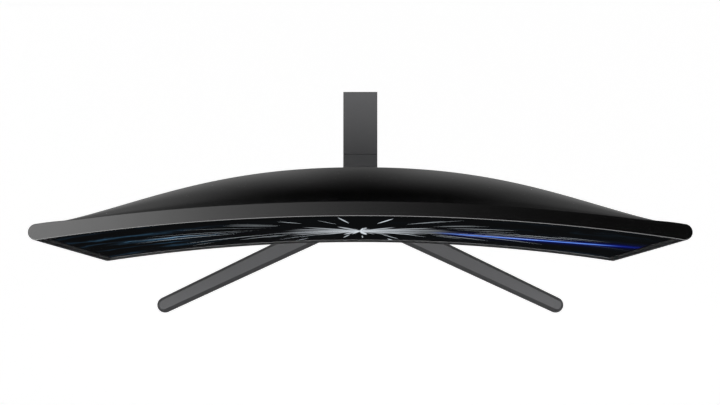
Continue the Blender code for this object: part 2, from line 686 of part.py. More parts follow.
def build_backlight_cable():
    curve = bpy.data.curves.new("backlight_cable", "CURVE")
    curve.dimensions = "3D"
    curve.bevel_depth = 0.0009   # radius of the lead
    curve.bevel_resolution = 2
    curve.resolution_u = 3
    curve.use_fill_caps = True
    points = [bend(angle_at(-0.215), 0.0108, 0.1100), bend(angle_at(-0.190), 0.0125, 0.1300),
              at(-0.1500, 0.0200, 0.1540), at(-0.1480, 0.0210, 0.1620)]
    spline = curve.splines.new("BEZIER")
    spline.bezier_points.add(len(points) - 1)
    for bezier_point, point in zip(spline.bezier_points, points):
        bezier_point.co = point
        bezier_point.handle_left_type = bezier_point.handle_right_type = "AUTO"
    curve.materials.append(CABLE)
    link("backlight_cable", curve)


def build_joystick():
    """Board, switch, plunger, gimbal ring and cap, from front to back."""
    curved_box("jog_board", (0.1900, 0.2200), (0.0090, 0.0098), (0.1120, 0.1660), BOARD, 2)
    jog_box("jog_switch", 0.0040, (0.0102, 0.0120), CHIP)
    # profiles: radius, bent depth
    turned("jog_plunger", [(0, 0.0130), (0.0018, 0.0130), (0.0018, 0.0148), (0, 0.0148)],
           JOG_ORIGIN, JOG_AXIS, 16, CHIP)
    turned("jog_gimbal", [(0.0022, 0.0151), (0.0034, 0.0151), (0.0034, 0.0159),
                          (0.0022, 0.0159)], JOG_ORIGIN, JOG_AXIS, 20)
    turned("jog_cap", [(0, 0.0151), (0.0014, 0.0151), (0.0014, 0.0165), (0.0050, 0.0165),
                       (0.0056, 0.0171), (0.0056, 0.0205), (0.0050, 0.0217), (0.0042, 0.0220),
                       (0.0030, 0.0214), (0, 0.0211)], JOG_ORIGIN, JOG_AXIS, 24, RIM)


# ===================================================== MOUNT, HINGE AND NECK
PLATE_HALF = 0.0460
EAR_RADIUS = 0.0080
EAR_ROOT_DEPTH = 0.0370
NECK_FOOT_DEPTH, NECK_FOOT_Z = 0.0740, 0.0143
NECK_Z = (0.0170, 0.1893)        # the two neck covers
NECK_HALF_DEPTH = (0.0100, 0.0084)   # at the two heights below
NECK_TAPER_Z = (0.017, 0.19)
NECK_CHAMFER = 0.0022
NECK_WALL = 0.0020
NECK_INNER_CHAMFER = 0.0006
NECK_SPLIT = 0.0002              # from the middle plane to each cover
CORE_BOTTOM = 0.0146
CLIP_Z = (0.0600, 0.0740)
# cable clip in plan: x, depth behind the clip's front face
CLIP_OUTLINE = (
    (-0.0110, 0), (0.0110, 0), (0.0120, 0.0012), (0.0120, 0.0060), (0.0105, 0.0075),
    (-0.0040, 0.0075), (-0.0046, 0.0066), (-0.0040, 0.0058), (0.0096, 0.0058),
    (0.0102, 0.0050), (0.0102, 0.0026), (0.0096, 0.0018), (-0.0096, 0.0018),
    (-0.0102, 0.0026), (-0.0100, 0.0075), (-0.0120, 0.0075), (-0.0120, 0.0012),
)


def at_hinge(x):
    """Point on the tilt axis."""
    return at(x, HINGE_DEPTH, HINGE_Z)


def build_mount_plate():
    """Plate in the cover's recess with two ears that take the hinge pin."""
    ear = [(EAR_ROOT_DEPTH, HINGE_Z - EAR_RADIUS), (HINGE_DEPTH, HINGE_Z - EAR_RADIUS),
           *half_circle(HINGE_DEPTH, HINGE_Z, EAR_RADIUS, -pi / 2, 8),
           (HINGE_DEPTH, HINGE_Z + EAR_RADIUS), (EAR_ROOT_DEPTH, HINGE_Z + 0.0150)]
    plate = box("mount_plate", around(0, PLATE_HALF), (0.0360, 0.0385),
                around(VESA_Z, PLATE_HALF))
    unite(plate, prism_x("ear_r", ear, (0.0209, 0.0234)), prism_x("ear_l", ear, (-0.0234, -0.0209)))
    subtract(plate, rod("cut_plate_pin", at_hinge(-0.030), ACROSS, PIN_BORE_RADIUS, 0.060, 32))
    for i, (x, z) in enumerate(VESA_POINTS):
        subtract(plate, rod(f"cut_plate_{i}", at(x, 0.034, z), BACK, 0.0023, 0.010, 16))


def build_plate_screws():
    profile = [(0, 0), (0.0030, 0), (0.0037, 0.0007), (0.0037, 0.0022), (0.00195, 0.0022),
               (0.00195, 0.0160), (0.0012, 0.0172), (0, 0.0172)]
    for i, (x, z) in enumerate(VESA_POINTS, 1):
        turned(f"plate_screw_{i}", profile, at(x, 0.0410, z), FORWARD, 16, SCREW)


def build_hinge():
    """Pin with its head on the left, two washers, and a nut on the right."""
    turned("hinge_pin", [(0, 0), (0.0050, 0), (0.0056, 0.0006), (0.0056, 0.0022),
                         (PIN_RADIUS, 0.0022), (PIN_RADIUS, 0.0532), (0.0028, 0.0540),
                         (0, 0.0540)], at_hinge(-0.0259), ACROSS, 32)
    bore = PIN_BORE_RADIUS + 0.0001
    washer = [(bore, 0), (0.0075, 0), (0.0075, 0.0010), (bore, 0.0010)]
    for side, x in (("left", -0.02060), ("right", 0.01960)):
        turned(f"friction_washer_{side}", washer, at_hinge(x), ACROSS, 24, ALUMINIUM)
    nut_radius = 0.0065
    hexagon = [(HINGE_DEPTH + nut_radius * cos(pi / 3 * k), HINGE_Z + nut_radius * sin(pi / 3 * k))
               for k in range(6)]
    nut = prism_x("hinge_nut", hexagon, (0.0238, 0.0272))
    subtract(nut, rod("cut_nut", at_hinge(0.020), ACROSS, PIN_BORE_RADIUS, 0.012, 32))


def neck_depth(z):
    """Depth of the leaning neck's middle plane."""
    lean = (HINGE_DEPTH - NECK_FOOT_DEPTH) / (HINGE_Z - NECK_FOOT_Z)
    return NECK_FOOT_DEPTH + lean * (z - NECK_FOOT_Z)


def neck_half_depth(z):
    low, high = NECK_TAPER_Z
    at_low, at_high = NECK_HALF_DEPTH
    return at_low + (at_high - at_low) * (z - low) / (high - low)


BASE_SCREW_DEPTH = neck_depth(CORE_BOTTOM)


def neck_shell(facing):
    """Plan section of a neck cover: U shape open to the middle plane; facing +1 is the rear."""
    def section(z):
        half_depth = neck_half_depth(z)
        inner = NECK_HALF_WIDTH - NECK_WALL
        outer_right = [(NECK_HALF_WIDTH - NECK_CHAMFER, half_depth),
                       (NECK_HALF_WIDTH, half_depth - NECK_CHAMFER),
                       (NECK_HALF_WIDTH, NECK_SPLIT)]
        inner_right = [(inner, NECK_SPLIT),
                       (inner, half_depth - NECK_WALL - NECK_INNER_CHAMFER),
                       (inner - NECK_INNER_CHAMFER, half_depth - NECK_WALL)]
        outer_left = [(-x, depth) for x, depth in reversed(outer_right)]
        inner_left = [(-x, depth) for x, depth in reversed(inner_right)]
        return [(x, neck_depth(z) + facing * depth)
                for x, depth in outer_left + outer_right + inner_right + inner_left]
    return section


def neck_block(half_width, half_depth):
    """Rectangular plan section about the neck's middle plane."""
    def section(z):
        front, rear = around(neck_depth(z), half_depth)
        return [(-half_width, front), (half_width, front), (half_width, rear), (-half_width, rear)]
    return section


def build_neck():
    """Steel core with a hinge barrel, between a front and a rear cover."""
    loft_z("neck_rear_cover", NECK_Z, neck_shell(1), NECK)
    loft_z("neck_front_cover", NECK_Z, neck_shell(-1), NECK)
    core = loft_z("neck_core", (CORE_BOTTOM, 0.0290), neck_block(0.0162, 0.0072), STEEL)
    unite(core, loft_z("core_bar", (0.0250, 0.1960), neck_block(0.0130, 0.0025), STEEL),
          rod("core_barrel", at_hinge(-NECK_HALF_WIDTH), ACROSS, 0.0090, 2 * NECK_HALF_WIDTH, 28))
    subtract(core, rod("cut_core_bore", at_hinge(-0.025), ACROSS, PIN_BORE_RADIUS, 0.050, 32),
             rod("cut_core_tap", at(0, BASE_SCREW_DEPTH, 0.010), UP, 0.0033, 0.0150, 16))


def build_cable_clip():
    """Open loop behind the neck; the gap is in its rear wall, left of centre."""
    def section(z):
        front = neck_depth(z) + neck_half_depth(z) + 0.0004
        return [(x, front + depth) for x, depth in CLIP_OUTLINE]
    loft_z("cable_clip", CLIP_Z, section, NECK)


# ====================================================================== BASE
FOOT_THICKNESS = 0.0019
BASE_BOTTOM, BASE_TOP = 0.0022, 0.0165
HUB_HALF_WIDTH = LEG_ROOT_X - 0.0003
HUB_NOSE_X = 0.0080
HUB_END = 0.1043          # depth of the hub's rear end
REAR_LEG_START = HUB_END + 0.0003
TONGUE_Z = (BASE_BOTTOM + 0.0003, 0.0075)
TONGUE_GAP = 0.0003
TONGUE_HALF = 0.0070      # side legs
TONGUE_END_X = 0.0400
REAR_TONGUE_HALF = 0.0120
SLOT_TOP = TONGUE_Z[1] + TONGUE_GAP
LEG_SCREW_X = 0.0170
LEG_SCREW_DEPTH = edge_depth(LEG_MIDDLE, LEG_SCREW_X)
LEG_FLANK = 0.0036        # plan width of the sloping flank beside the flat top
FOOT_HALF_LENGTH = 0.0100   # rear foot: between its middle and an end's centre
FOOT_END_RADIUS = 0.0045


def leg_strip(side, x_span, half):
    """Plan rectangle along a side leg's centre line."""
    start, end = (Vector((x, edge_depth(LEG_MIDDLE, x))) for x in x_span)
    offset = LEG_ACROSS * half
    corners = (start - offset, end - offset, end + offset, start + offset)
    return [(side * x, depth) for x, depth in corners]


def hub_outline():
    front = [(HUB_NOSE_X, edge_depth(LEG_FRONT_EDGE, HUB_NOSE_X)),
             (HUB_HALF_WIDTH, edge_depth(LEG_FRONT_EDGE, HUB_HALF_WIDTH))]
    rear = [(HUB_HALF_WIDTH, edge_depth(LEG_REAR_EDGE, HUB_HALF_WIDTH)),
            (NECK_HALF_WIDTH, edge_depth(LEG_REAR_EDGE, NECK_HALF_WIDTH)),
            (NECK_HALF_WIDTH, HUB_END)]
    return [*((-x, depth) for x, depth in reversed(front)), *front,
            *rear, *((-x, depth) for x, depth in reversed(rear))]


def build_hub():
    hub = prism_z("base_hub", hub_outline(), (BASE_BOTTOM, 0.0141), STAND)
    for side in (1, -1):
        slot = leg_strip(side, (0.0090, TONGUE_END_X), TONGUE_HALF + TONGUE_GAP)
        subtract(hub, prism_z(f"cut_tab_{side}", slot, (0.0, SLOT_TOP)),
                 rod(f"cut_legscrew_{side}", at(side * LEG_SCREW_X, LEG_SCREW_DEPTH, 0.004), UP,
                     0.0019, 0.0090, 14))
    screw_foot = at(0, BASE_SCREW_DEPTH, 0.0)
    subtract(hub, rod("cut_hub_screw", screw_foot, UP, 0.0098, 0.0062, 24),
             rod("cut_hub_shank", screw_foot, UP, 0.0035, 0.020, 16),
             box("cut_rear_slot", around(0, REAR_TONGUE_HALF + TONGUE_GAP),
                 (HUB_END - 0.0125, HUB_END + 0.010), (-0.002, SLOT_TOP)))
    cover = prism_z("hub_cover", hub_outline(), (0.0144, BASE_TOP), STAND)
    subtract(cover, box("cut_hub_neck", around(0, 0.0168), around(neck_depth(0.0155), 0.0078),
                        (0.010, 0.020)))


def build_base_screw():
    """Screw up into the neck core, with a straight slot in its head."""
    screw = turned("base_screw", [(0, 0), (0.0085, 0), (0.0093, 0.0008), (0.0093, 0.0030),
                                  (0.0031, 0.0030), (0.0031, 0.0180), (0.0024, 0.0190),
                                  (0, 0.0190)], at(0, BASE_SCREW_DEPTH, 0.0028), UP, 24, SCREW)
    subtract(screw, box("cut_coin", around(0, 0.0070), around(BASE_SCREW_DEPTH, 0.0009),
                        (0.0, 0.0042)))


def leg_ring(side, z, inset):
    """Outline of a side leg at height z, drawn in by inset, its root kept square."""
    def root_point(edge, shift):
        point = Vector((LEG_ROOT_X, edge_depth(edge, LEG_ROOT_X))) + LEG_ACROSS * shift
        return LEG_ROOT_X, point.y + (point.x - LEG_ROOT_X) * LEG_MIDDLE[1]
    outline = [root_point(LEG_FRONT_EDGE, inset), *tip_arc(inset),
               root_point(LEG_REAR_EDGE, -inset)]
    return [at(side * x, depth, z) for x, depth in outline]


def build_side_leg(word, side):
    """Bar with a flat top, sloping flanks and a rounded tip; its screw and foot."""
    name = f"{word}_leg"
    # height, inset of the outline
    levels = [(BASE_BOTTOM, 0.0006), (BASE_BOTTOM + 0.0006, 0.0), (BASE_BOTTOM + 0.0040, 0.0),
              (BASE_TOP, LEG_FLANK)]
    leg = skin(name, [leg_ring(side, z, inset) for z, inset in levels], STAND)
    tongue = leg_strip(side, (0.0100, TONGUE_END_X), TONGUE_HALF)
    well = leg_strip(side, (0.0450, 0.1950), 0.0058)
    screw_x = side * LEG_SCREW_X
    unite(leg, prism_z(f"tab_{name}", tongue, TONGUE_Z))
    subtract(leg, prism_z(f"cut_well_{name}", well, (-0.002, 0.0115)),
             rod(f"cut_lh_{name}", at(screw_x, LEG_SCREW_DEPTH, -0.002), UP, 0.0035, 0.0062, 16),
             rod(f"cut_ls_{name}", at(screw_x, LEG_SCREW_DEPTH, 0.0), UP, 0.0021, 0.012, 16))
    turned(f"leg_screw_{word}", [(0, 0), (0.0026, 0), (0.0031, 0.0005), (0.0031, 0.0014),
                                 (0.0016, 0.0014), (0.0016, 0.0084), (0, 0.0084)],
           at(screw_x, LEG_SCREW_DEPTH, BASE_BOTTOM + 0.0004), UP, 14, SCREW)
    foot = TIP_CENTRE - LEG_ALONG * 0.004
    turned(f"foot_{word}", [(0, 0), (0.0056, 0), (0.0060, 0.0004), (0.0060, FOOT_THICKNESS),
                            (0, FOOT_THICKNESS)], at(side * foot.x, foot.y, 0), UP, 20, RUBBER)


def build_rear_leg():
    """Flat bar with broken edges and a square end, and its tongue into the hub."""
    # height, inset of the outline
    levels = ((BASE_BOTTOM, 0.0005), (BASE_BOTTOM + 0.0005, 0.0), (BASE_TOP - 0.0011, 0.0),
              (BASE_TOP, 0.0012))
    rings = []
    for z, inset in levels:
        half, end = NECK_HALF_WIDTH - inset, REAR_LEG_END - inset
        rings.append([at(-half, REAR_LEG_START, z), at(half, REAR_LEG_START, z),
                      at(half, end, z), at(-half, end, z)])
    leg = skin("rear_leg", rings, STAND)
    subtract(leg, box("cut_rear_well", around(0, 0.0165),
                      (REAR_LEG_START + 0.0150, REAR_LEG_END - 0.0180), (-0.002, 0.0135)))
    unite(leg, box("rear_tongue", around(0, REAR_TONGUE_HALF),
                   (REAR_LEG_START - 0.0110, REAR_LEG_START + 0.0080), TONGUE_Z))


def build_middle_feet():
    """Round-ended pads under the rear leg and, narrowed in x, under the hub."""
    for name, centre, x_scale in (("foot_rear", 0.1660, 1.0), ("foot_hub", 0.0530, 0.55)):
        outline = [*half_circle(FOOT_HALF_LENGTH, centre, FOOT_END_RADIUS, -pi / 2, 6, ends=True),
                   *half_circle(-FOOT_HALF_LENGTH, centre, FOOT_END_RADIUS, pi / 2, 6, ends=True)]
        prism_z(name, [(x * x_scale, depth) for x, depth in outline], (0, FOOT_THICKNESS), RUBBER)


# ========================================================== JOINTS AS EMPTIES
HEAD_PIECES = """
    middle_frame front_bezel lcd_cell mold_frame optical_sheets light_guide reflector_sheet
    led_bar panel_chassis source_board cof_film_left cof_film_right rear_cover inner_chassis
    main_board scaler_chip heat_sink capacitor hdmi_port displayport audio_jack dc_jack
    display_cable key_cable backlight_cable mount_plate plate_screw_1 plate_screw_2
    plate_screw_3 plate_screw_4 cover_screw_1 cover_screw_2 cover_screw_3 cover_screw_4
    jog_board jog_switch power_led_lens""".split()
STAND_PIECES = """
    neck_core neck_front_cover neck_rear_cover hinge_pin hinge_nut friction_washer_left
    friction_washer_right base_hub hub_cover left_leg right_leg rear_leg base_screw
    leg_screw_left leg_screw_right foot_left foot_right foot_rear foot_hub cable_clip""".split()


def attach(ob, parent):
    """Parent an object without moving it."""
    ob.parent = parent
    ob.matrix_parent_inverse = parent.matrix_world.inverted()


def build_joint(name, location, parent, pieces):
    joint = link(name, None)
    joint.empty_display_size = 0.02
    if parent:
        attach(joint, parent)
    joint.location = location
    # the children need the joint's matrix_world up to date
    bpy.context.view_layer.update()
    for piece in pieces:
        attach(bpy.data.objects[piece], joint)
    return joint


def build_joints():
    root = build_joint("stand_root", (0, 0, 0), None, STAND_PIECES)
    parent = build_joint("tilt_axis", at_hinge(0), root, HEAD_PIECES)
    pivot = bend(JOG_ANGLE, JOG_PIVOT, JOG_Z)
    for name, piece in (("jog_press_axis", "jog_plunger"), ("jog_updown_axis", "jog_gimbal"),
                        ("jog_leftright_axis", "jog_cap")):
        parent = build_joint(name, pivot, parent, [piece])


build_middle_frame()
build_panel_layers()
build_led_bar()
build_cof_films()
build_rear_cover()
build_cover_screws()
build_inner_chassis()
build_main_board()
build_connectors()
build_display_cable()
build_key_cable()
build_backlight_cable()
build_joystick()
build_mount_plate()
build_plate_screws()
build_hinge()
build_neck()
build_cable_clip()
build_hub()
build_base_screw()
build_side_leg("right", 1)
build_side_leg("left", -1)
build_rear_leg()
build_middle_feet()
build_joints()
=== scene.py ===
# A curved monitor on a stand with two splayed front legs and one rear leg.
# Metres, +Z up, floor at z = 0. The screen faces -Y, +Y is the back, x = 0 is the middle.
# The head is bent about a vertical axis in front of it. Places on it are given as an angle
# about that axis and a depth behind the front surface.
import json
from math import asin, atan2, cos, hypot, pi, radians, sin, sqrt

import bmesh
import bpy
from mathutils import Matrix, Vector

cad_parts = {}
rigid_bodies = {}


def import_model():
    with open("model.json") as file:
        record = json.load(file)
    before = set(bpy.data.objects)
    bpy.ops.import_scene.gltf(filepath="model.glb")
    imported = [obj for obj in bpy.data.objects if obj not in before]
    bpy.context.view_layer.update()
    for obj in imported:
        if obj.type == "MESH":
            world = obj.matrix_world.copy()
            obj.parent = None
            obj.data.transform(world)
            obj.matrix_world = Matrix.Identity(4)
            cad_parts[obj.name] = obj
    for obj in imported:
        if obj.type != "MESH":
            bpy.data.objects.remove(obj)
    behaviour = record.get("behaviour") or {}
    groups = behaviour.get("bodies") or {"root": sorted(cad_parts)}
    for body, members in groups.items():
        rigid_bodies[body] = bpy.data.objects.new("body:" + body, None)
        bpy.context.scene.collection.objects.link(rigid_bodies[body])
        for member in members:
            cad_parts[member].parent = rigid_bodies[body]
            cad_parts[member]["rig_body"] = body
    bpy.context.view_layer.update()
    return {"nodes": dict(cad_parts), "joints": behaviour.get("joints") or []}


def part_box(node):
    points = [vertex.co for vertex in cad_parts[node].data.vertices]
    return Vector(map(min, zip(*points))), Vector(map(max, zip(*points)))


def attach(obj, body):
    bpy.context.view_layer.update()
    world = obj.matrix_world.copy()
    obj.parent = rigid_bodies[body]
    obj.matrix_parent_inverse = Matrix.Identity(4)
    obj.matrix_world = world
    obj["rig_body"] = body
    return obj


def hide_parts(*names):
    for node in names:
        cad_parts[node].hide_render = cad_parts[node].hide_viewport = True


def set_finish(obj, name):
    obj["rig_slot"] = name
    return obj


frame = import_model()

SCENE = bpy.context.scene
OBJECTS = SCENE.collection.objects

# ------------------------------------------------------------------ driving sizes
RIM_BOX, REAR_LEG_BOX, COVER_BOX = (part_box(n) for n in ("middle_frame", "rear_leg", "rear_cover"))
HINGE = Vector(frame["joints"][0]["pos_m"])

CURVE_R = 1.800                        # radius of the front surface
TAIL_END = 0.1760                      # rear leg's end, behind the front lip
LIP_Y = REAR_LEG_BOX[1].y - TAIL_END   # front lip at the middle
ARC_DEPTH = 0.006                      # depth at which x is turned into an angle
HEAD_BOTTOM, HEAD_TOP = RIM_BOX[0].z, RIM_BOX[1].z
HEAD_W = RIM_BOX[1].x - RIM_BOX[0].x
RIM_DEPTH = 0.0125
ACTIVE_W, ACTIVE_H = 0.5214, 0.2933    # lit part of the screen
ACTIVE_Z = HEAD_BOTTOM + 0.0235        # its lower edge
JOG_X, JOG_Z = 0.2050, 0.1250          # joystick
JOG_PAD_DEPTH = 0.0160                 # floor of the recess round it
JOG_ANGLE = asin(JOG_X / (CURVE_R + JOG_PAD_DEPTH))
MOUNT_Z, MOUNT_HALF = 0.2375, 0.0375   # square of four plate screws
NECK_HALF_W = 0.01925
BASE_BOTTOM, BASE_TOP = REAR_LEG_BOX[0].z, REAR_LEG_BOX[1].z


def on_arc(angle, depth, z):
    r = CURVE_R + depth
    return Vector((r * sin(angle), LIP_Y - CURVE_R + r * cos(angle), z))


def arc_angle(x):
    return asin(x / (CURVE_R + ARC_DEPTH))


def arc_depth(point):
    return hypot(point.x, point.y - LIP_Y + CURVE_R) - CURVE_R


def behind_lip(y):
    """World y of a place given from the front lip."""
    return y + LIP_Y


JOG_AXIS = Vector((sin(JOG_ANGLE), cos(JOG_ANGLE), 0))
JOG_SIDE = Vector((cos(JOG_ANGLE), -sin(JOG_ANGLE), 0))
JOG_ORIGIN = on_arc(JOG_ANGLE, 0, JOG_Z)
MOUNT_SPOTS = [(sx * MOUNT_HALF, MOUNT_Z + sz * MOUNT_HALF) for sx in (-1, 1) for sz in (-1, 1)]
BOTTOM_SCREWS = [on_arc(arc_angle(x), 0.0068, 0) for x in (-0.200, -0.110, 0.110, 0.200)]


# ------------------------------------------------------------------ shader helpers
class Value:
    """A node output; arithmetic on it adds Math nodes."""

    def __init__(self, graph, socket):
        self.graph = graph
        self.socket = socket

    def __add__(self, other):
        return self.graph.math("ADD", self, other)

    def __radd__(self, other):
        return self.graph.math("ADD", other, self)

    def __sub__(self, other):
        return self.graph.math("SUBTRACT", self, other)

    def __rsub__(self, other):
        return self.graph.math("SUBTRACT", other, self)

    def __mul__(self, other):
        return self.graph.math("MULTIPLY", self, other)

    def __truediv__(self, other):
        return self.graph.math("DIVIDE", self, other)

    def __pow__(self, other):
        return self.graph.math("POWER", self, other)

    def __abs__(self):
        return self.graph.math("ABSOLUTE", self)

    def ramp(self, low, high, start=0.0, end=1.0):
        """Smooth step from start at low to end at high."""
        return self.graph.value("MapRange", "Result", {
            "Value": self, "From Min": low, "From Max": high, "To Min": start, "To Max": end,
        }, interpolation_type="SMOOTHSTEP")


def clamped(value):
    """Limits the Math node behind a value to 0..1."""
    value.socket.node.use_clamp = True
    return value


class Graph:
    def __init__(self, tree):
        self.nodes = tree.nodes
        self.links = tree.links

    def fill(self, node, inputs):
        for key, value in inputs.items():
            if isinstance(value, Value):
                self.links.new(value.socket, node.inputs[key])
            else:
                node.inputs[key].default_value = value

    def node(self, kind, inputs={}, **attributes):
        node = self.nodes.new("ShaderNode" + kind)
        for key, value in attributes.items():
            setattr(node, key, value)
        self.fill(node, inputs)
        return node

    def value(self, kind, output=0, inputs={}, **attributes):
        return Value(self, self.node(kind, inputs, **attributes).outputs[output])

    def math(self, operation, a, b=0.0):
        return self.value("Math", 0, {0: a, 1: b, 2: 0.0}, operation=operation)

    def mix(self, factor, a, b, blend="MIX"):
        return self.value("Mix", 2, {"Factor": factor, 6: a, 7: b},
                          data_type="RGBA", blend_type=blend)

    def noise(self, vector, scale, detail=2.0, rough=0.5, distortion=0.0):
        return self.value("TexNoise", "Fac", {
            "Vector": vector, "Scale": scale, "Detail": detail,
            "Roughness": rough, "Distortion": distortion})

    def xyz(self, vector):
        node = self.node("SeparateXYZ", {0: vector})
        return [Value(self, output) for output in node.outputs]

    def vector(self, x, y, z):
        return self.value("CombineXYZ", 0, {0: x, 1: y, 2: z})

    def scaled(self, vector, factor):
        return self.value("VectorMath", 0, {0: vector, "Scale": factor}, operation="SCALE")

    def added(self, a, b):
        return self.value("VectorMath", 0, {0: a, 1: b}, operation="ADD")


def new_material(name):
    material = bpy.data.materials.new(name)
    material.use_nodes = True
    tree = material.node_tree
    return material, Graph(tree), tree.nodes["Principled BSDF"]


def rgba(rgb):
    return (*rgb, 1.0)


# ------------------------------------------------------------------ materials
def surface(name, colour, roughness, grain, mottle, edge, rough_var=0.06, metal=0.0,
            specular=0.5, brush=None, coat=0.0, specks=0.0, soft=0.00035,
            transmission=0.0, painted_side_shade=None):
    """Moulded, painted or metal surface with uneven colour and gloss.

    grain: scale, strength and depth of the fine bump
    mottle: scale and amount of the slow colour drift
    edge: width and amount of the lightened edges, rubbed wear and painted edge highlight
    brush: scale of brushed lines along x, y, z
    soft: radius that shading gives to edges
    painted_side_shade: painted shade, the brightness of sloping sides next to that of level faces
    """
    material, g, shader = new_material(name)
    grain_scale, grain_strength, grain_depth = grain
    mottle_scale, mottle_amount = mottle
    edge_width, edge_amount = edge
    coords = g.value("TexCoord", "Object")
    drift = g.noise(coords, mottle_scale, detail=4.0, rough=0.6)
    fine = g.noise(coords, grain_scale, detail=2.0, rough=0.55)
    shade = (1.0 - mottle_amount) + drift * (2 * mottle_amount)
    shade = shade * (0.94 + fine * 0.12)
    plain = g.mix(1.0, rgba(colour), (1, 1, 1, 1), "MULTIPLY")
    tint = g.scaled(plain, shade)
    uneven = g.noise(coords, mottle_scale * 3.1, detail=3.0, rough=0.6)
    gloss = (roughness - rough_var) + uneven * (2 * rough_var)
    if specks:
        cells = g.value("TexVoronoi", "Distance", {"Scale": grain_scale * 0.33, "Vector": coords})
        speck = cells.ramp(0.10, 0.22, 1.0, 0.0) * specks
        tint = g.mix(speck, tint, rgba([min(1, c * 2.2 + 0.02) for c in colour]))
    height = fine
    if brush is not None:
        stretched = g.value("Mapping", 0, {"Scale": brush, "Vector": coords})
        lines = g.noise(stretched, 1.0, detail=3.0, rough=0.7)
        height = lines * 0.8 + fine * 0.2
        gloss = gloss + (lines - 0.5) * 0.18
    rounded = g.value("Bevel", 0, {"Radius": soft}, samples=4)
    bump = g.value("Bump", 0, {"Strength": grain_strength, "Distance": grain_depth,
                               "Height": height, "Normal": rounded})
    # lightened edges: rubbed wear in patches, and a painted highlight along the edges
    if edge_amount > 0:
        wide = g.value("Bevel", 0, {"Radius": edge_width}, samples=4)
        normal = g.value("NewGeometry", "Normal")
        bend = g.value("VectorMath", "Value", {0: wide, 1: normal}, operation="DOT_PRODUCT")
        patches = g.noise(coords, 420.0, detail=3.0, rough=0.6)
        edge_wear_and_highlight = bend.ramp(0.80, 0.99, 1.0, 0.0) * patches.ramp(0.38, 0.66) * edge_amount
        tint = g.mix(edge_wear_and_highlight, tint, rgba([min(1.0, c * 1.7 + 0.015) for c in colour]))
        gloss = gloss + edge_wear_and_highlight * -0.10
    # painted shade: sloping sides are darkened in the colour as if lit from above; level and
    # downward faces keep their colour
    if painted_side_shade is not None:
        up = g.xyz(g.value("NewGeometry", "Normal"))[2]
        facing = up.ramp(0.45, 0.92, painted_side_shade, 1.0) + up.ramp(-0.1, -0.6, 0.0, 1.0 - painted_side_shade)
        tint = g.scaled(tint, facing)
    g.fill(shader, {
        "Normal": bump, "Base Color": tint, "Roughness": gloss, "Metallic": metal, "IOR": 1.5,
        "Specular IOR Level": specular, "Coat Weight": coat, "Coat Roughness": 0.15,
        "Transmission Weight": transmission})
    return material


RIM = surface(
    "rim_gloss", (0.0022, 0.0022, 0.0024), 0.14, grain=(3400, 0.05, 0.00004),
    mottle=(20, 0.06), edge=(0.0005, 0.25), rough_var=0.02, soft=0.0002)
COVER = surface(
    "cover_satin", (0.0090, 0.0090, 0.0096), 0.15, grain=(1900, 0.16, 0.00010),
    mottle=(26, 0.08), edge=(0.0006, 0.30), rough_var=0.04, soft=0.0006)
BEZEL = surface(
    "bezel_satin", (0.0240, 0.0240, 0.0250), 0.30, grain=(2400, 0.12, 0.00008),
    mottle=(30, 0.08), edge=(0.0003, 0.2), soft=0.0002)
# the stand's sloping sides get painted shade in their colour
STAND = surface(
    "stand_powder", (0.094, 0.0942, 0.097), 0.62, grain=(1500, 0.30, 0.00016),
    mottle=(34, 0.06), edge=(0.0007, 0.30), rough_var=0.05, specular=0.04, specks=0.10,
    painted_side_shade=0.55)
NECK = surface(
    "stand_moulded", (0.084, 0.0843, 0.087), 0.58, grain=(1900, 0.22, 0.00012),
    mottle=(40, 0.07), edge=(0.0006, 0.25), specular=0.10)
PLATE = surface(
    "plate_black_steel", (0.030, 0.031, 0.034), 0.46, grain=(1500, 0.25, 0.00012),
    mottle=(60, 0.15), edge=(0.0005, 0.5), specks=0.06)
STEEL = surface(
    "zinc_steel", (0.52, 0.53, 0.56), 0.34, grain=(900, 0.10, 0.00006), mottle=(120, 0.12),
    edge=(0.0003, 0.2), rough_var=0.08, metal=1.0, brush=(60.0, 2200.0, 2200.0))
TURNED = surface(
    "turned_steel", (0.58, 0.59, 0.61), 0.26, grain=(1200, 0.08, 0.00004),
    mottle=(200, 0.10), edge=(0.0002, 0.2), metal=1.0, brush=(5200.0, 260.0, 260.0))
OXIDE = surface(
    "black_oxide", (0.055, 0.055, 0.062), 0.36, grain=(2600, 0.14, 0.00005),
    mottle=(300, 0.15), edge=(0.00025, 0.7), metal=1.0)
ALUMINIUM = surface(
    "anodised", (0.62, 0.63, 0.65), 0.38, grain=(2200, 0.12, 0.00005), mottle=(90, 0.06),
    edge=(0.0002, 0.2), metal=1.0, brush=(90.0, 90.0, 2600.0))
WHITE = surface(
    "film_white", (0.82, 0.83, 0.85), 0.52, grain=(900, 0.06, 0.00004), mottle=(30, 0.03),
    edge=(0.0002, 0.0))
ACRYLIC = surface(
    "acrylic", (0.80, 0.84, 0.86), 0.08, grain=(700, 0.04, 0.00003), mottle=(22, 0.03),
    edge=(0.0002, 0.0), transmission=0.85)
NYLON = surface(
    "nylon", (0.70, 0.70, 0.67), 0.50, grain=(1200, 0.12, 0.00006), mottle=(40, 0.05),
    edge=(0.0002, 0.1))
RESIN = surface(
    "chip_resin", (0.018, 0.018, 0.019), 0.48, grain=(3200, 0.20, 0.00005),
    mottle=(240, 0.12), edge=(0.0002, 0.3))
FILM = surface(
    "polyimide", (0.36, 0.16, 0.025), 0.34, grain=(1500, 0.05, 0.00003), mottle=(160, 0.10),
    edge=(0.0001, 0.0), coat=0.4)
CABLE = surface(
    "cable_jacket", (0.22, 0.22, 0.235), 0.50, grain=(2200, 0.12, 0.00005),
    mottle=(150, 0.08), edge=(0.0002, 0.1), brush=(3000.0, 60.0, 60.0))
RUBBER = surface(
    "rubber", (0.014, 0.014, 0.0145), 0.82, grain=(1700, 0.35, 0.00016), mottle=(90, 0.12),
    edge=(0.0004, 0.25))
LENS = surface(
    "lens", (0.70, 0.76, 0.82), 0.12, grain=(1500, 0.05, 0.00003), mottle=(200, 0.05),
    edge=(0.0001, 0.0), transmission=0.6)


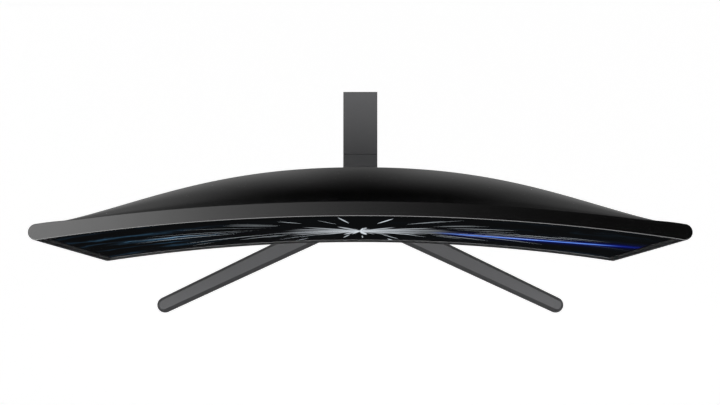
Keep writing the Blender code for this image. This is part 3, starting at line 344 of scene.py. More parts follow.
def board_material():
    """Green board with patches of paler tracks."""
    material = surface(
        "solder_mask", (0.012, 0.085, 0.045), 0.36, grain=(1800, 0.06, 0.00004),
        mottle=(60, 0.10), edge=(0.0002, 0.1), coat=0.3)
    g = Graph(material.node_tree)
    shader = material.node_tree.nodes["Principled BSDF"]
    mask = Value(g, shader.inputs["Base Color"].links[0].from_socket)
    coords = g.value("TexCoord", "Object")
    x, y, z = g.xyz(coords)
    tracks = g.value("TexBrick", "Fac", {
        "Vector": g.vector(x, z, y), "Scale": 1.0, "Brick Width": 0.0042,
        "Row Height": 0.0013, "Mortar Size": 0.00028})
    patches = g.noise(coords, 90.0).ramp(0.45, 0.62)
    g.fill(shader, {"Base Color": g.mix(tracks * patches, mask, (0.03, 0.17, 0.09, 1))})
    return material


BOARD = board_material()


def screen_material():
    """Dark coated glass over a picture: thin rays running in to a burst in the middle,
    pale wisps at the left and a blue streak at the right."""
    material, g, shader = new_material("screen_coated_glass")
    coords = g.value("TexCoord", "Object")
    x, y, z = g.xyz(coords)
    # the picture is 16 wide and 9 high, with its origin in the middle
    arc = g.math("ARCSINE", x / CURVE_R) * CURVE_R
    across = arc / ACTIVE_W * 16.0
    up = (z - (ACTIVE_Z + ACTIVE_H / 2)) / ACTIVE_H * 9.0
    inside = abs(across).ramp(7.985, 8.0, 1.0, 0.0) * abs(up).ramp(4.485, 4.5, 1.0, 0.0)
    radius = g.math("SQRT", across * across + up * up)
    oval = g.math("SQRT", (across * 0.60) ** 2.0 + (up * 1.0) ** 2.0)

    def turn(a, b):
        """Angle of (b, a) as a share of a full turn."""
        return g.math("ARCTAN2", a, b) / (2 * pi) + 0.5

    def draws(cell, seed):
        """Three random values for a cell."""
        vector = g.vector(cell, seed, 0.0)
        return g.xyz(g.value("TexWhiteNoise", "Color", {"Vector": vector},
                             noise_dimensions="2D"))

    def rays(count, seed, share, start, start_range, length, length_range, width, squash):
        """Rays in angular cells, each with its own angle, start and length, thin at both ends."""
        sweep = turn(up * squash, across) * float(count)
        cell = g.math("FLOOR", sweep)
        draw_angle, draw_start, draw_length = draws(cell, seed)
        draw_width, draw_share, draw_light = draws(cell, seed + 40.0)
        offset = g.math("FRACT", sweep) - (0.25 + draw_angle * 0.5)
        squared = across * across + up * up * (squash * squash)
        distance = abs(offset) * (2 * pi / (count * squash)) * squared / (radius + 0.001)
        first = start + draw_start * start_range
        reach = length + draw_length * length_range
        along = (oval - first) / reach
        bow = clamped(along * (1.0 - along) * 4.0)
        within = g.math("GREATER_THAN", along, 0.0) * g.math("LESS_THAN", along, 1.0)
        half = bow * (0.5 + draw_width) * width
        line = clamped(1.0 - distance / (half + 0.0005))
        line = clamped(line * 2.2)
        kept = g.math("LESS_THAN", draw_share, share)
        return line * within * (kept * (0.55 + draw_light * 0.45))

    # long fine rays, more fine ones, then a few short thicker ones further out
    # (count, seed, share drawn, start and its range, length and its range, width, squash)
    white = rays(24, 3.0, 0.90, 1.70, 0.5, 1.0, 1.3, 0.032, 1.8)
    for row in ((34, 17.0, 0.46, 1.8, 1.1, 0.7, 1.1, 0.022, 1.8),
                (26, 29.0, 0.22, 2.9, 1.2, 0.4, 0.9, 0.038, 1.0)):
        white = g.math("MAXIMUM", white, rays(*row))
    # they fade towards the far left and right
    fade = abs(across).ramp(5.2, 7.4, 1.0, 0.10) * 1.0
    white = white * fade

    # burst of spikes, wide at the root and sharp at the tip, longer to the sides
    burst_up = up + 0.75
    cubes = abs(across * 0.37) ** 3.0 + abs(burst_up * 0.60) ** 3.0
    burst_radius = cubes ** (1.0 / 3.0)
    burst_turn = turn(burst_up, across * 0.62)

    def spikes(count, seed, length, length_range, fill):
        sweep = burst_turn * float(count)
        draw_length, draw_light, _ = draws(g.math("FLOOR", sweep), seed)
        offset = abs(g.math("FRACT", sweep) - 0.5)
        along = burst_radius / (length + draw_length * length_range)
        half = clamped(1.0 - along * along) * fill
        return clamped((half - offset) * 14.0) * (0.45 + draw_light * 0.55)

    both = g.math("MAXIMUM",
                  spikes(21, 71.0, length=0.84, length_range=0.32, fill=0.31),
                  spikes(37, 79.0, length=0.46, length_range=0.40, fill=0.27))
    burst = g.math("MAXIMUM", both, burst_radius.ramp(0.0, 0.30, 1.0, 0.0) * 1.0)

    # wisps: stretched noise, strong at the left and faint at the right
    warp = g.noise(g.vector(across * 0.35, up * 0.35, 2.0), 1.0, detail=3.0, rough=0.6,
                   distortion=0.8)
    warped = g.vector(across * 0.24 + warp * 1.1, up * 0.95 + warp * 3.0, 5.0)
    cloud = g.noise(warped, 1.0, detail=5.0, rough=0.62, distortion=0.3)
    wisp = cloud.ramp(0.50, 0.72) * 0.30 + cloud.ramp(0.62, 0.76) * 0.85
    left = across.ramp(-3.2, -6.0) * abs(up).ramp(3.0, 4.4, 1.0, 0.25)
    right = across.ramp(2.2, 5.0) * 0.10
    wisp = wisp * (left + right + 0.02)

    # streak: a shallow arc out to the right edge, a thin core in a saturated halo
    streak_up = -1.206 + (across - 4.12) ** 2.0 * 0.117
    wobble = (g.noise(g.vector(across, 3.0, 0.0), 1.3) - 0.5) * 0.10
    off = abs(up - streak_up - wobble)
    along = across.ramp(1.9, 3.4) * across.ramp(7.2, 8.0, 1.0, 0.6)
    halo = g.math("EXPONENT", off * -3.4) * along
    core = g.math("EXPONENT", off * off * -60.0) * (along * across.ramp(6.7, 7.6, 1.0, 0.04))

    picture = g.scaled((0.86, 0.94, 1.0), white * 0.95)
    for colour, amount in (((0.075, 0.20, 0.34), wisp), ((0.002, 0.010, 0.30), halo),
                           ((0.17, 0.38, 0.92), core), ((0.84, 0.90, 0.96), burst * 0.92)):
        picture = g.added(picture, g.scaled(colour, amount))
    picture = g.added(picture, (0.0004, 0.0007, 0.0011))
    # faint vertical stripes, 0.27 mm apart
    stripes = 0.94 + g.math("SINE", arc * (2 * pi / 0.00027)) * 0.06
    picture = g.scaled(picture, inside * stripes)
    bump = g.value("Bump", 0, {"Strength": 0.05, "Distance": 0.00003,
                               "Height": g.noise(coords, 4200.0, detail=1.0)})
    g.fill(shader, {
        "Emission Color": picture, "Emission Strength": 1.0,
        "Base Color": g.mix(inside, (0.0012, 0.0012, 0.0014, 1), (0.0014, 0.0015, 0.0018, 1)),
        "Roughness": 0.08 + g.noise(coords, 60.0, detail=3.0) * 0.03,
        "IOR": 1.42, "Normal": bump})
    return material


SCREEN = screen_material()


# ------------------------------------------------------------------ mesh helpers
def add_object(name, mesh):
    ob = bpy.data.objects.new(name, mesh)
    OBJECTS.link(ob)
    return ob


def solid(name, verts, faces, material=None):
    mesh = bpy.data.meshes.new(name)
    bm = bmesh.new()
    made = [bm.verts.new(v) for v in verts]
    for face in faces:
        bm.faces.new([made[i] for i in face])
    bmesh.ops.recalc_face_normals(bm, faces=bm.faces)
    bm.to_mesh(mesh)
    bm.free()
    if material:
        mesh.materials.append(material)
    return add_object(name, mesh)


def smooth(ob, angle):
    ob.data.shade_smooth()
    ob.data.set_sharp_from_angle(angle=radians(angle))


def finish(ob, body, slot, node, angle=32.0):
    """Smooths a piece, attaches it to its body, gives it a slot and hides its CAD node."""
    smooth(ob, angle)
    weighted = ob.modifiers.new("weighted", "WEIGHTED_NORMAL")
    weighted.mode = "FACE_AREA"
    weighted.keep_sharp = True
    weighted.weight = 60
    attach(ob, body)
    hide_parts(node)
    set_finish(ob, slot)


def apply_modifiers(ob):
    bpy.context.view_layer.update()
    graph = bpy.context.evaluated_depsgraph_get()
    mesh = bpy.data.meshes.new_from_object(
        ob.evaluated_get(graph), preserve_all_data_layers=True, depsgraph=graph)
    materials = list(ob.data.materials)
    ob.modifiers.clear()
    ob.data = mesh
    mesh.materials.clear()
    for material in materials:
        mesh.materials.append(material)


def boolean(ob, *cutters, operation="DIFFERENCE"):
    """Cuts with, or joins on, other solids, which are used up."""
    for cutter in cutters:
        modifier = ob.modifiers.new("boolean", "BOOLEAN")
        modifier.operation = operation
        modifier.solver = "EXACT"
        modifier.object = cutter
    apply_modifiers(ob)
    for cutter in cutters:
        bpy.data.objects.remove(cutter, do_unlink=True)


def gather(cutters):
    """One cutter from several separate closed ones."""
    bm = bmesh.new()
    for ob in cutters:
        bm.from_mesh(ob.data)
    mesh = bpy.data.meshes.new("cutter")
    bm.to_mesh(mesh)
    bm.free()
    for ob in cutters:
        bpy.data.objects.remove(ob, do_unlink=True)
    return add_object("cutter", mesh)


def tidy(ob, merge=2e-6):
    bm = bmesh.new()
    bm.from_mesh(ob.data)
    bmesh.ops.remove_doubles(bm, verts=bm.verts, dist=merge)
    bmesh.ops.dissolve_degenerate(bm, dist=1e-6, edges=bm.edges)
    bmesh.ops.recalc_face_normals(bm, faces=bm.faces)
    bm.to_mesh(ob.data)
    bm.free()


def skin(rings, wrap=False):
    """Points and side faces over closed rings; wrap joins the last ring to the first."""
    n = len(rings[0])
    faces = []
    for k in range(len(rings) if wrap else len(rings) - 1):
        low, high = k * n, (k + 1) % len(rings) * n
        for i in range(n):
            j = (i + 1) % n
            faces.append((low + i, low + j, high + j, high + i))
    return [point for ring in rings for point in ring], faces


def loft(name, rings, material=None, caps=True):
    verts, faces = skin(rings)
    if caps:
        n = len(rings[0])
        faces.append(tuple(range(n)))
        faces.append(tuple(range((len(rings) - 1) * n, len(rings) * n)))
    return solid(name, verts, faces, material)


def curved_block(name, half_w, front, back, z0, z1, segments, material=None, rows=1):
    """Block bent with the head, between two depths."""
    start, end = arc_angle(-half_w), arc_angle(half_w)
    rings = []
    for i in range(segments + 1):
        t = start + (end - start) * i / segments
        rings.append([on_arc(t, front, z0 + (z1 - z0) * k / rows) for k in range(rows + 1)]
                     + [on_arc(t, back, z1 + (z0 - z1) * k / rows) for k in range(rows + 1)])
    return loft(name, rings, material)


def block(x0, x1, y0, y1, z0, z1):
    """Square cutter; y runs from the front lip."""
    ys = (behind_lip(y0), behind_lip(y1))
    return solid("cutter", [(x, y, z) for x in (x0, x1) for y in ys for z in (z0, z1)],
                 [(0, 1, 3, 2), (4, 5, 7, 6), (0, 1, 5, 4), (2, 3, 7, 6), (0, 2, 6, 4),
                  (1, 3, 7, 5)])


def rounded_rect(x0, x1, y0, y1, r, segments):
    points = []
    for cx, cy, start in ((x1 - r, y0 + r, -90), (x1 - r, y1 - r, 0),
                          (x0 + r, y1 - r, 90), (x0 + r, y0 + r, 180)):
        for k in range(segments + 1):
            a = radians(start + 90 * k / segments)
            points.append((cx + r * cos(a), cy + r * sin(a)))
    return points


def back_prism(points, y0, y1=0.09):
    """Cutter from an (x, z) outline drawn back between two depths from the front lip."""
    return loft("cutter", [[Vector((x, behind_lip(y), z)) for x, z in points]
                           for y in (y0, y1)])


def plan_prism(points, z0, z1, side=1):
    """Upright cutter from an (x, y) outline; side -1 mirrors it in x."""
    return loft("cutter", [[Vector((side * p[0], behind_lip(p[1]), z)) for p in points]
                           for z in (z0, z1)])


def across_axis(axis):
    """The axis made unit length and two directions square to it."""
    axis = Vector(axis).normalized()
    up = Vector((0, 0, 1)) if abs(axis.z) < 0.9 else Vector((1, 0, 0))
    side = axis.cross(up).normalized()
    return axis, side, axis.cross(side)


def spin(name, profile, origin, axis, segments, material=None):
    """Turned solid from (radius, distance along the axis) points."""
    axis, side, other = across_axis(axis)
    origin = Vector(origin)
    verts, faces, rows = [], [], []
    for radius, along in profile:
        if radius < 1e-9:
            rows.append([len(verts)])
            verts.append(origin + axis * along)
            continue
        rows.append(list(range(len(verts), len(verts) + segments)))
        for k in range(segments):
            a = 2 * pi * k / segments
            verts.append(origin + axis * along + (side * cos(a) + other * sin(a)) * radius)
    pairs = list(zip(rows, rows[1:]))
    if profile[0][0] > 1e-9:
        pairs.append((rows[-1], rows[0]))
    for p, q in pairs:
        for k in range(segments):
            j = (k + 1) % segments
            if len(p) == 1:
                faces.append((p[0], q[k], q[j]))
            elif len(q) == 1:
                faces.append((p[k], p[j], q[0]))
            else:
                faces.append((p[k], p[j], q[j], q[k]))
    return solid(name, verts, faces, material)


def drill(radius, length, origin, axis, segments):
    profile = [(0, 0), (radius, 0), (radius, length), (0, length)]
    return spin("cutter", profile, origin, axis, segments)


def round_profile(points, radius, segments=4):
    """Rounds the inner corners of a 2-D polyline."""
    out = [points[0]]
    for before, corner, after in zip(points, points[1:], points[2:]):
        corner = Vector(corner)
        a, b = Vector(before) - corner, Vector(after) - corner
        d = min(radius, a.length * 0.45, b.length * 0.45)
        a.normalize()
        b.normalize()
        p0, p1 = corner + a * d, corner + b * d
        for k in range(segments + 1):
            t = k / segments
            out.append(tuple(p0 * (1 - t) ** 2 + corner * 2 * t * (1 - t) + p1 * t ** 2))
    out.append(points[-1])
    return out


def screw(node, body, profile, origin, axis, size, depth, slotted=False, segments=32):
    """Turned screw with a tapered cross or a straight slot in its head.
    size is half the recess's length."""
    ob = spin(node + "_driven", profile, origin, axis, segments, OXIDE)
    axis, side, other = across_axis(axis)
    thickness = size * (0.12 if slotted else 0.17)
    floor_size = size * (1.0 if slotted else 0.45)
    cutters = []
    for long, short in ((side, other),) if slotted else ((side, other), (other, side)):
        verts = []
        for along, half in ((-0.0004, size), (depth, floor_size)):
            for i, j in ((-1, -1), (1, -1), (1, 1), (-1, 1)):
                verts.append(Vector(origin) + axis * along + long * i * half
                             + short * j * thickness)
        cutters.append(solid("cutter", verts, [(0, 1, 2, 3), (4, 5, 6, 7), (0, 1, 5, 4),
                                               (1, 2, 6, 5), (2, 3, 7, 6), (3, 0, 4, 7)]))
    boolean(ob, *cutters)
    finish(ob, body, "screw_black", node, angle=35)


def refine(node, material, slot, width, segments=2):
    """Copy of a CAD node with clean faces and bevelled edges."""
    source = frame["nodes"][node]
    name = node + "_finished"
    bm = bmesh.new()
    bm.from_mesh(source.data)
    bmesh.ops.remove_doubles(bm, verts=bm.verts, dist=2e-6)
    bmesh.ops.dissolve_limit(bm, angle_limit=radians(0.6), verts=bm.verts, edges=bm.edges)
    bmesh.ops.recalc_face_normals(bm, faces=bm.faces)
    mesh = bpy.data.meshes.new(name)
    bm.to_mesh(mesh)
    bm.free()
    mesh.materials.append(material)
    ob = add_object(name, mesh)
    bevel = ob.modifiers.new("edge", "BEVEL")
    bevel.width = width
    bevel.segments = segments
    bevel.limit_method = "ANGLE"
    bevel.angle_limit = radians(32.0)
    bevel.use_clamp_overlap = True
    bevel.harden_normals = False
    apply_modifiers(ob)
    finish(ob, source["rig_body"], slot, node)


# ------------------------------------------------------------------ head: rim band
FLARE = 0.0012                             # extra depth of the rim at its ends
END_R = (RIM_DEPTH + FLARE) / 2
END_ANGLE = asin((HEAD_W / 2 - END_R) / (CURVE_R + END_R))
ARC_STEPS, END_STEPS = 110, 20
FRONT_ROUND, BACK_ROUND = 0.0008, 0.00035  # radii of the rim's long edges


def rim_back(angle):
    """Depth of the rim's back, easing out to the flare near the ends."""
    k = min(1.0, max(0.0, (CURVE_R * sin(abs(angle)) - 0.2280) / 0.0320))
    return RIM_DEPTH + FLARE * k * k * (3 - 2 * k)


def rim_ring(front_inset, back_inset, front_z, back_z):
    """Outline of the rim in plan: front arc, round end, back arc, round end."""
    front, back = front_inset, RIM_DEPTH + FLARE - back_inset
    middle, radius = (front + back) / 2, (back - front) / 2
    centre = on_arc(END_ANGLE, middle, 0)
    angles = [-END_ANGLE + 2 * END_ANGLE * i / ARC_STEPS for i in range(ARC_STEPS + 1)]
    back_angles = [END_ANGLE - 2 * END_ANGLE * i / ARC_STEPS for i in range(ARC_STEPS + 1)]

    def round_end(side, z0, z1):
        points = []
        for k in range(1, END_STEPS):
            w = pi * k / END_STEPS
            a = w - side * (pi / 2 + END_ANGLE)
            points.append(Vector((side * centre.x + radius * cos(a),
                                  centre.y + radius * sin(a),
                                  z0 + (z1 - z0) * (0.5 - 0.5 * cos(w)))))
        return points

    return ([on_arc(a, front, front_z) for a in angles] + round_end(1, front_z, back_z)
            + [on_arc(a, rim_back(a) - back_inset, back_z) for a in back_angles]
            + round_end(-1, back_z, front_z))


def rim_edge(z, up):
    """Rings round one long edge; up is 1 at the bottom and -1 at the top."""
    rings = []
    for k in range(6):
        a = pi / 2 * k / 5
        inset, rise = 1 - sin(a), 1 - cos(a)
        if up < 0:
            inset, rise = rise, inset
        rings.append(rim_ring(FRONT_ROUND * inset, BACK_ROUND * inset,
                              z + up * FRONT_ROUND * rise, z + up * BACK_ROUND * rise))
    return rings


def make_rim():
    rings = rim_edge(HEAD_BOTTOM, 1)
    for k in range(1, 12):
        z = HEAD_BOTTOM + 0.001 + (HEAD_TOP - HEAD_BOTTOM - 0.002) * k / 12
        rings.append(rim_ring(0, 0, z, z))
    rings += rim_edge(HEAD_TOP, -1)
    verts, faces = skin(rings)
    n = len(rings[0])
    back = ARC_STEPS + END_STEPS           # first point of the back arc
    for k in (0, len(rings) - 1):
        o = k * n
        for i in range(ARC_STEPS):
            across = o + back + ARC_STEPS - i
            faces.append((o + i, o + i + 1, across - 1, across))
        faces.append(tuple(o + i for i in range(ARC_STEPS, back + 1)))
        faces.append(tuple([o + i for i in range(back + ARC_STEPS, n)] + [o]))
    rim = solid("rim_band", verts, faces, RIM)

    opening = curved_block("cutter", 0.2665, -0.010, RIM_DEPTH + 0.010,
                           HEAD_BOTTOM + 0.0022, HEAD_TOP - 0.0022, 80)
    sink = [(0, 0), (0.0032, 0), (0.0029, 0.00228), (0.0029, 0.00345), (0.0017, 0.00345),
            (0.0017, 0.0060), (0, 0.0060)]
    below = HEAD_BOTTOM - 0.002
    tools = [spin("cutter", sink, (p.x, p.y, below), (0, 0, 1), 28) for p in BOTTOM_SCREWS]
    # small rectangular slot in the underside
    p = on_arc(arc_angle(0.228), 0.0050, 0)
    y = p.y - LIP_Y
    tools.append(block(p.x - 0.0024, p.x + 0.0024, y - 0.0014, y + 0.0014,
                       below, HEAD_BOTTOM + 0.004))
    boolean(rim, opening, gather(tools))
    tidy(rim)

    # satin front face and ends, gloss elsewhere
    rim.data.materials.append(BEZEL)
    for poly in rim.data.polygons:
        c = poly.center
        forward = Vector((-c.x, -(c.y - LIP_Y + CURVE_R), 0)).normalized()
        facing = poly.normal.dot(forward)
        tilt = abs(poly.normal.z)
        front = arc_depth(c) < 0.0006 and facing > 0.80 and tilt < 0.3
        end = (abs(c.x) > 0.2600 and tilt < 0.45
               and (abs(poly.normal.x) > 0.30 or facing > 0.5)
               and HEAD_BOTTOM + 0.0002 < c.z < HEAD_TOP - 0.0002)
        poly.material_index = 1 if front or end else 0
    finish(rim, "head", "rim_gloss", "middle_frame", angle=40)


make_rim()

# ------------------------------------------------------------------ head: bezel and glass
OPEN_MARGIN = 0.0008                       # opening beyond the lit part
OPEN_X = ACTIVE_W / 2 + OPEN_MARGIN
OPEN_Z0, OPEN_Z1 = ACTIVE_Z - OPEN_MARGIN, ACTIVE_Z + ACTIVE_H + OPEN_MARGIN
BEZEL_X = 0.2662
BEZEL_Z0, BEZEL_Z1 = HEAD_BOTTOM + 0.0025, HEAD_TOP - 0.0025
# (inset from the outer edge, depth)
BEZEL_OUTER = [(0.0, 0.0024), (0.0, 0.0010), (0.00012, 0.0008), (0.0003, 0.0007)]
# (distance out from the opening, depth); the edge slopes down to the glass
BEZEL_INNER = [(0.0008, 0.0007), (0.0005, 0.00075), (0.0003, 0.0010), (0.0, 0.0024)]


def frame_ring(half_w, z0, z1, depth, columns=90, rows=6):
    t0, t1 = arc_angle(-half_w), arc_angle(half_w)
    points = [on_arc(t0 + (t1 - t0) * i / columns, depth, z0) for i in range(columns)]
    points += [on_arc(t1, depth, z0 + (z1 - z0) * i / rows) for i in range(rows)]
    points += [on_arc(t1 + (t0 - t1) * i / columns, depth, z1) for i in range(columns)]
    points += [on_arc(t0, depth, z1 + (z0 - z1) * i / rows) for i in range(rows)]
    return points


rings = [frame_ring(BEZEL_X - s, BEZEL_Z0 + s, BEZEL_Z1 - s, depth) for s, depth in BEZEL_OUTER]
rings += [frame_ring(OPEN_X + s, OPEN_Z0 - s, OPEN_Z1 + s, depth) for s, depth in BEZEL_INNER]
finish(solid("bezel_frame", *skin(rings, wrap=True), BEZEL),
       "head", "bezel_dark", "front_bezel", angle=25)

GLASS_GAP = 0.0003
finish(curved_block("screen_glass", OPEN_X - GLASS_GAP, 0.0010, 0.0024, OPEN_Z0 + GLASS_GAP,
                    OPEN_Z1 - GLASS_GAP, 120, SCREEN, rows=10),
       "head", "screen_glass", "lcd_cell", angle=30)

# ------------------------------------------------------------------ head: rear cover
COVER_X, COVER_Z0, COVER_Z1 = 0.2660, COVER_BOX[0].z, COVER_BOX[1].z
COVER_WALL, RECESS_WALL = 0.0024, 0.0022
BULGE, BULGE_X, BULGE_Z = 0.0458, 0.2625, 0.2340   # height, half width, level of the crest
BULGE_POWER, BULGE_SHARPNESS = 2.40, 1.08
# recesses: (x0, x1, z0, z1), and the depth of their floors
SQUARE = (-0.0520, 0.0520, 0.1860, 0.2900)
CHANNEL = (-0.0260, 0.0260, 0.0800, 0.1900)
BAY = (-0.1350, -0.0620, 0.1660, 0.1940)
FLOOR_DEPTH, BAY_DEPTH = 0.0355, 0.0315
JOG_PAD_HALF = 0.0110
PORT_Z, PORT_Y = 0.1800, 0.0270
DC_X, HDMI_X, DISPLAYPORT_X, AUDIO_X = -0.1260, -0.1060, -0.0850, -0.0685
VENT_ROWS, VENT_COLUMNS = 4, 10
VENT_Z, VENT_ROW_PITCH, VENT_H = 0.2620, 0.0080, 0.0030
VENT_X, VENT_PITCH, VENT_W = 0.0684, 0.00798, 0.0062


def dome(x, z, inset=0.0):
    """Height of the bulge over the flat back."""
    z0, z1 = COVER_Z0 + inset, COVER_Z1 - inset
    s = (z - BULGE_Z) / ((z1 - BULGE_Z) if z > BULGE_Z else (BULGE_Z - z0))
    u = min(1.0, abs(x) / (BULGE_X - inset))
    bell = (1 - u ** BULGE_POWER) ** BULGE_SHARPNESS
    return BULGE * bell * sqrt(max(0.0, 1 - min(1.0, abs(s)) ** 2))


def dome_block(name, front, back, inset, nx, nz, material=None):
    """Solid between a plain curved front and the domed back."""
    z0, z1 = COVER_Z0 + inset, COVER_Z1 - inset
    reach = BULGE_X - inset
    xs = [reach * (i / nx) for i in range(nx + 1)] + [COVER_X - inset]
    xs = [-x for x in reversed(xs[1:])] + xs
    zs = []
    for k in range(nz + 1):
        w = -pi / 2 + pi * k / nz
        zs.append(BULGE_Z + ((z1 - BULGE_Z) if w > 0 else (BULGE_Z - z0)) * sin(w))
    zs[0], zs[-1] = z0, z1
    columns, rows = len(xs), len(zs)
    verts = [on_arc(arc_angle(x), back + dome(x, z, inset), z) for x in xs for z in zs]
    faces = []
    for i in range(columns - 1):
        for j in range(rows - 1):
            q = i * rows + j
            faces += [(q, q + rows, q + rows + 1), (q, q + rows + 1, q + 1)]
    k = len(verts)
    for x in xs:
        verts += [on_arc(arc_angle(x), front, z0), on_arc(arc_angle(x), front, z1)]
    for i in range(columns - 1):
        low = k + 2 * i
        here, there = i * rows, (i + 1) * rows
        faces.append((low, low + 1, low + 3, low + 2))
        faces.append((low, low + 2, there, here))
        faces.append((low + 1, low + 3, there + rows - 1, here + rows - 1))
    faces.append((k, *range(0, rows), k + 1))
    e = k + 2 * (columns - 1)
    faces.append((e, *range((columns - 1) * rows, columns * rows), e + 1))
    return solid(name, verts, faces, material)


def jog_prism(half, depth0, depth1, corner, draft=0.0):
    """Square prism along the joystick's axis, widening by draft towards the back."""
    rings = []
    for size, depth in ((half, depth0), (half + draft, depth1)):
        rings.append([JOG_ORIGIN + JOG_SIDE * x + JOG_AXIS * depth + Vector((0, 0, z))
                      for x, z in rounded_rect(-size, size, -size, size, corner, 6)])
    return loft("cutter", rings)


def cut_cover(cover):
    # hollow inside, leaving walls round the recesses
    hollow = dome_block("cutter", -0.012, RIM_DEPTH - COVER_WALL, COVER_WALL, 24, 28)
    walls = [block(x0 - RECESS_WALL, x1 + RECESS_WALL, floor_y - COVER_WALL, 0.09,
                   z0 - RECESS_WALL, z1 + RECESS_WALL)
             for (x0, x1, z0, z1), floor_y in ((SQUARE, FLOOR_DEPTH), (CHANNEL, FLOOR_DEPTH),
                                               (BAY, BAY_DEPTH))]
    walls.append(jog_prism(JOG_PAD_HALF + RECESS_WALL, JOG_PAD_DEPTH - COVER_WALL, 0.060,
                           0.002))
    boolean(hollow, *walls)
    boolean(cover, hollow)

    # recesses, lock slot and rows of short vent slots
    boolean(cover, back_prism(rounded_rect(*SQUARE, 0.0045, 8), FLOOR_DEPTH))
    boolean(cover, back_prism(rounded_rect(*CHANNEL, 0.0015, 4), FLOOR_DEPTH))
    tools = [back_prism(rounded_rect(*BAY, 0.003, 6), BAY_DEPTH),
             jog_prism(JOG_PAD_HALF, JOG_PAD_DEPTH, 0.062, 0.002 + 0.0015 - 0.0015)
             if False else jog_prism_recess(),
             back_prism(rounded_rect(0.1465, 0.1535, 0.1385, 0.1420, 0.0009, 4), 0.010)]
    for row in range(VENT_ROWS):
        z = VENT_Z + row * VENT_ROW_PITCH
        for side in (-1, 1):
            for i in range(VENT_COLUMNS):
                x = VENT_X + i * VENT_PITCH
                x0, x1 = sorted((side * x, side * (x + VENT_W)))
                slot = rounded_rect(x0, x1, z, z + VENT_H, 0.00145, 4)
                tools.append(back_prism(slot, 0.020))
    boolean(cover, gather(tools))

    # holes in the recess floors: joystick, plate screws, ports
    back = (0, 1, 0)
    tools = [drill(0.0063, 0.012, on_arc(JOG_ANGLE, 0.0105, JOG_Z), JOG_AXIS, 40)]
    for x, z in MOUNT_SPOTS:
        tools.append(drill(0.0025, 0.010, (x, behind_lip(0.030), z), back, 28))
    for x, radius in ((DC_X, 0.0049), (AUDIO_X, 0.0039)):
        tools.append(drill(radius, 0.010, (x, behind_lip(PORT_Y), PORT_Z), back, 32))
    for x in (HDMI_X, DISPLAYPORT_X):
        outline = rounded_rect(x - 0.0083, x + 0.0083, PORT_Z - 0.0034, PORT_Z + 0.0034,
                               0.0008, 4)
        tools.append(back_prism(outline, PORT_Y, 0.0370))
    boolean(cover, gather(tools))
    tidy(cover, 1e-6)


def jog_prism_recess():
    """Flared recess round the joystick."""
    return jog_prism(JOG_PAD_HALF, JOG_PAD_DEPTH, 0.062, 0.0035)


def dome_normal(x, z):
    """Outward normal of the dome, by differences."""
    step = 4e-4
    margin = 1e-7

    def point(px, pz):
        pz = min(max(pz, COVER_Z0 + margin), COVER_Z1 - margin)
        px = min(max(px, -COVER_X), COVER_X)
        return on_arc(arc_angle(px), RIM_DEPTH + dome(px, pz), pz)

    along_x = point(x + step, z) - point(x - step, z)
    step_z = min(step, 0.35 * min(abs(COVER_Z1 - z), abs(z - COVER_Z0)) + 2e-6)
    along_z = point(x, z + step_z) - point(x, z - step_z)
    normal = along_x.cross(along_z)
    normal.normalize()
    return normal if normal.y > 0 else -normal


def shell_normal(point):
    """Dome normal at a vertex of the outer skin, None elsewhere."""
    x = (CURVE_R + ARC_DEPTH) * sin(atan2(point.x, point.y - LIP_Y + CURVE_R))
    if (abs(x) < BULGE_X - 0.0005 and COVER_Z0 + 2e-5 < point.z < COVER_Z1 - 2e-5
            and abs(arc_depth(point) - RIM_DEPTH - dome(x, point.z)) < 2.5e-4):
        return dome_normal(x, point.z)
    return None


def shade_cover(cover):
    """Smooth dome shading that the cuts do not disturb."""
    smooth(cover, 40)
    mesh = cover.data
    normals = [corner.vector.copy() for corner in mesh.corner_normals]
    shell = [shell_normal(vertex.co) for vertex in mesh.vertices]
    for poly in mesh.polygons:
        for i in poly.loop_indices:
            normal = shell[mesh.loops[i].vertex_index]
            if normal is not None and normal.dot(poly.normal) > 0.80:
                normals[i] = normal
    mesh.normals_split_custom_set([tuple(normal) for normal in normals])


cover = dome_block("cover_shell", RIM_DEPTH - COVER_WALL, RIM_DEPTH, 0.0, 56, 64, COVER)
cut_cover(cover)
shade_cover(cover)
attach(cover, "head")
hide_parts("rear_cover")
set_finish(cover, "cover_black")

# ------------------------------------------------------------------ head: small parts
PLATE_SCREW = [
    (0, 0), (0.0022, 0), (0.0030, 0.00018), (0.0035, 0.00045), (0.0037, 0.0008),
    (0.0037, 0.0022), (0.00195, 0.0022), (0.00195, 0.0160), (0.0012, 0.0172), (0, 0.0172)]
COVER_SCREW = [
    (0, 0), (0.0018, 0), (0.0023, 0.00012), (0.0026, 0.0004), (0.0026, 0.0010),
    (0.0012, 0.0011), (0.0012, 0.0068), (0.0006, 0.0076), (0, 0.0076)]
for i, (x, z) in enumerate(MOUNT_SPOTS):
    screw(f"plate_screw_{i + 1}", "head", PLATE_SCREW, (x, behind_lip(0.0410), z), (0, -1, 0),
          size=0.0021, depth=0.0013)
for i, p in enumerate(BOTTOM_SCREWS):
    screw(f"cover_screw_{i + 1}", "head", COVER_SCREW, (p.x, p.y, HEAD_BOTTOM + 0.0001),
          (0, 0, 1), size=0.0015, depth=0.0007)

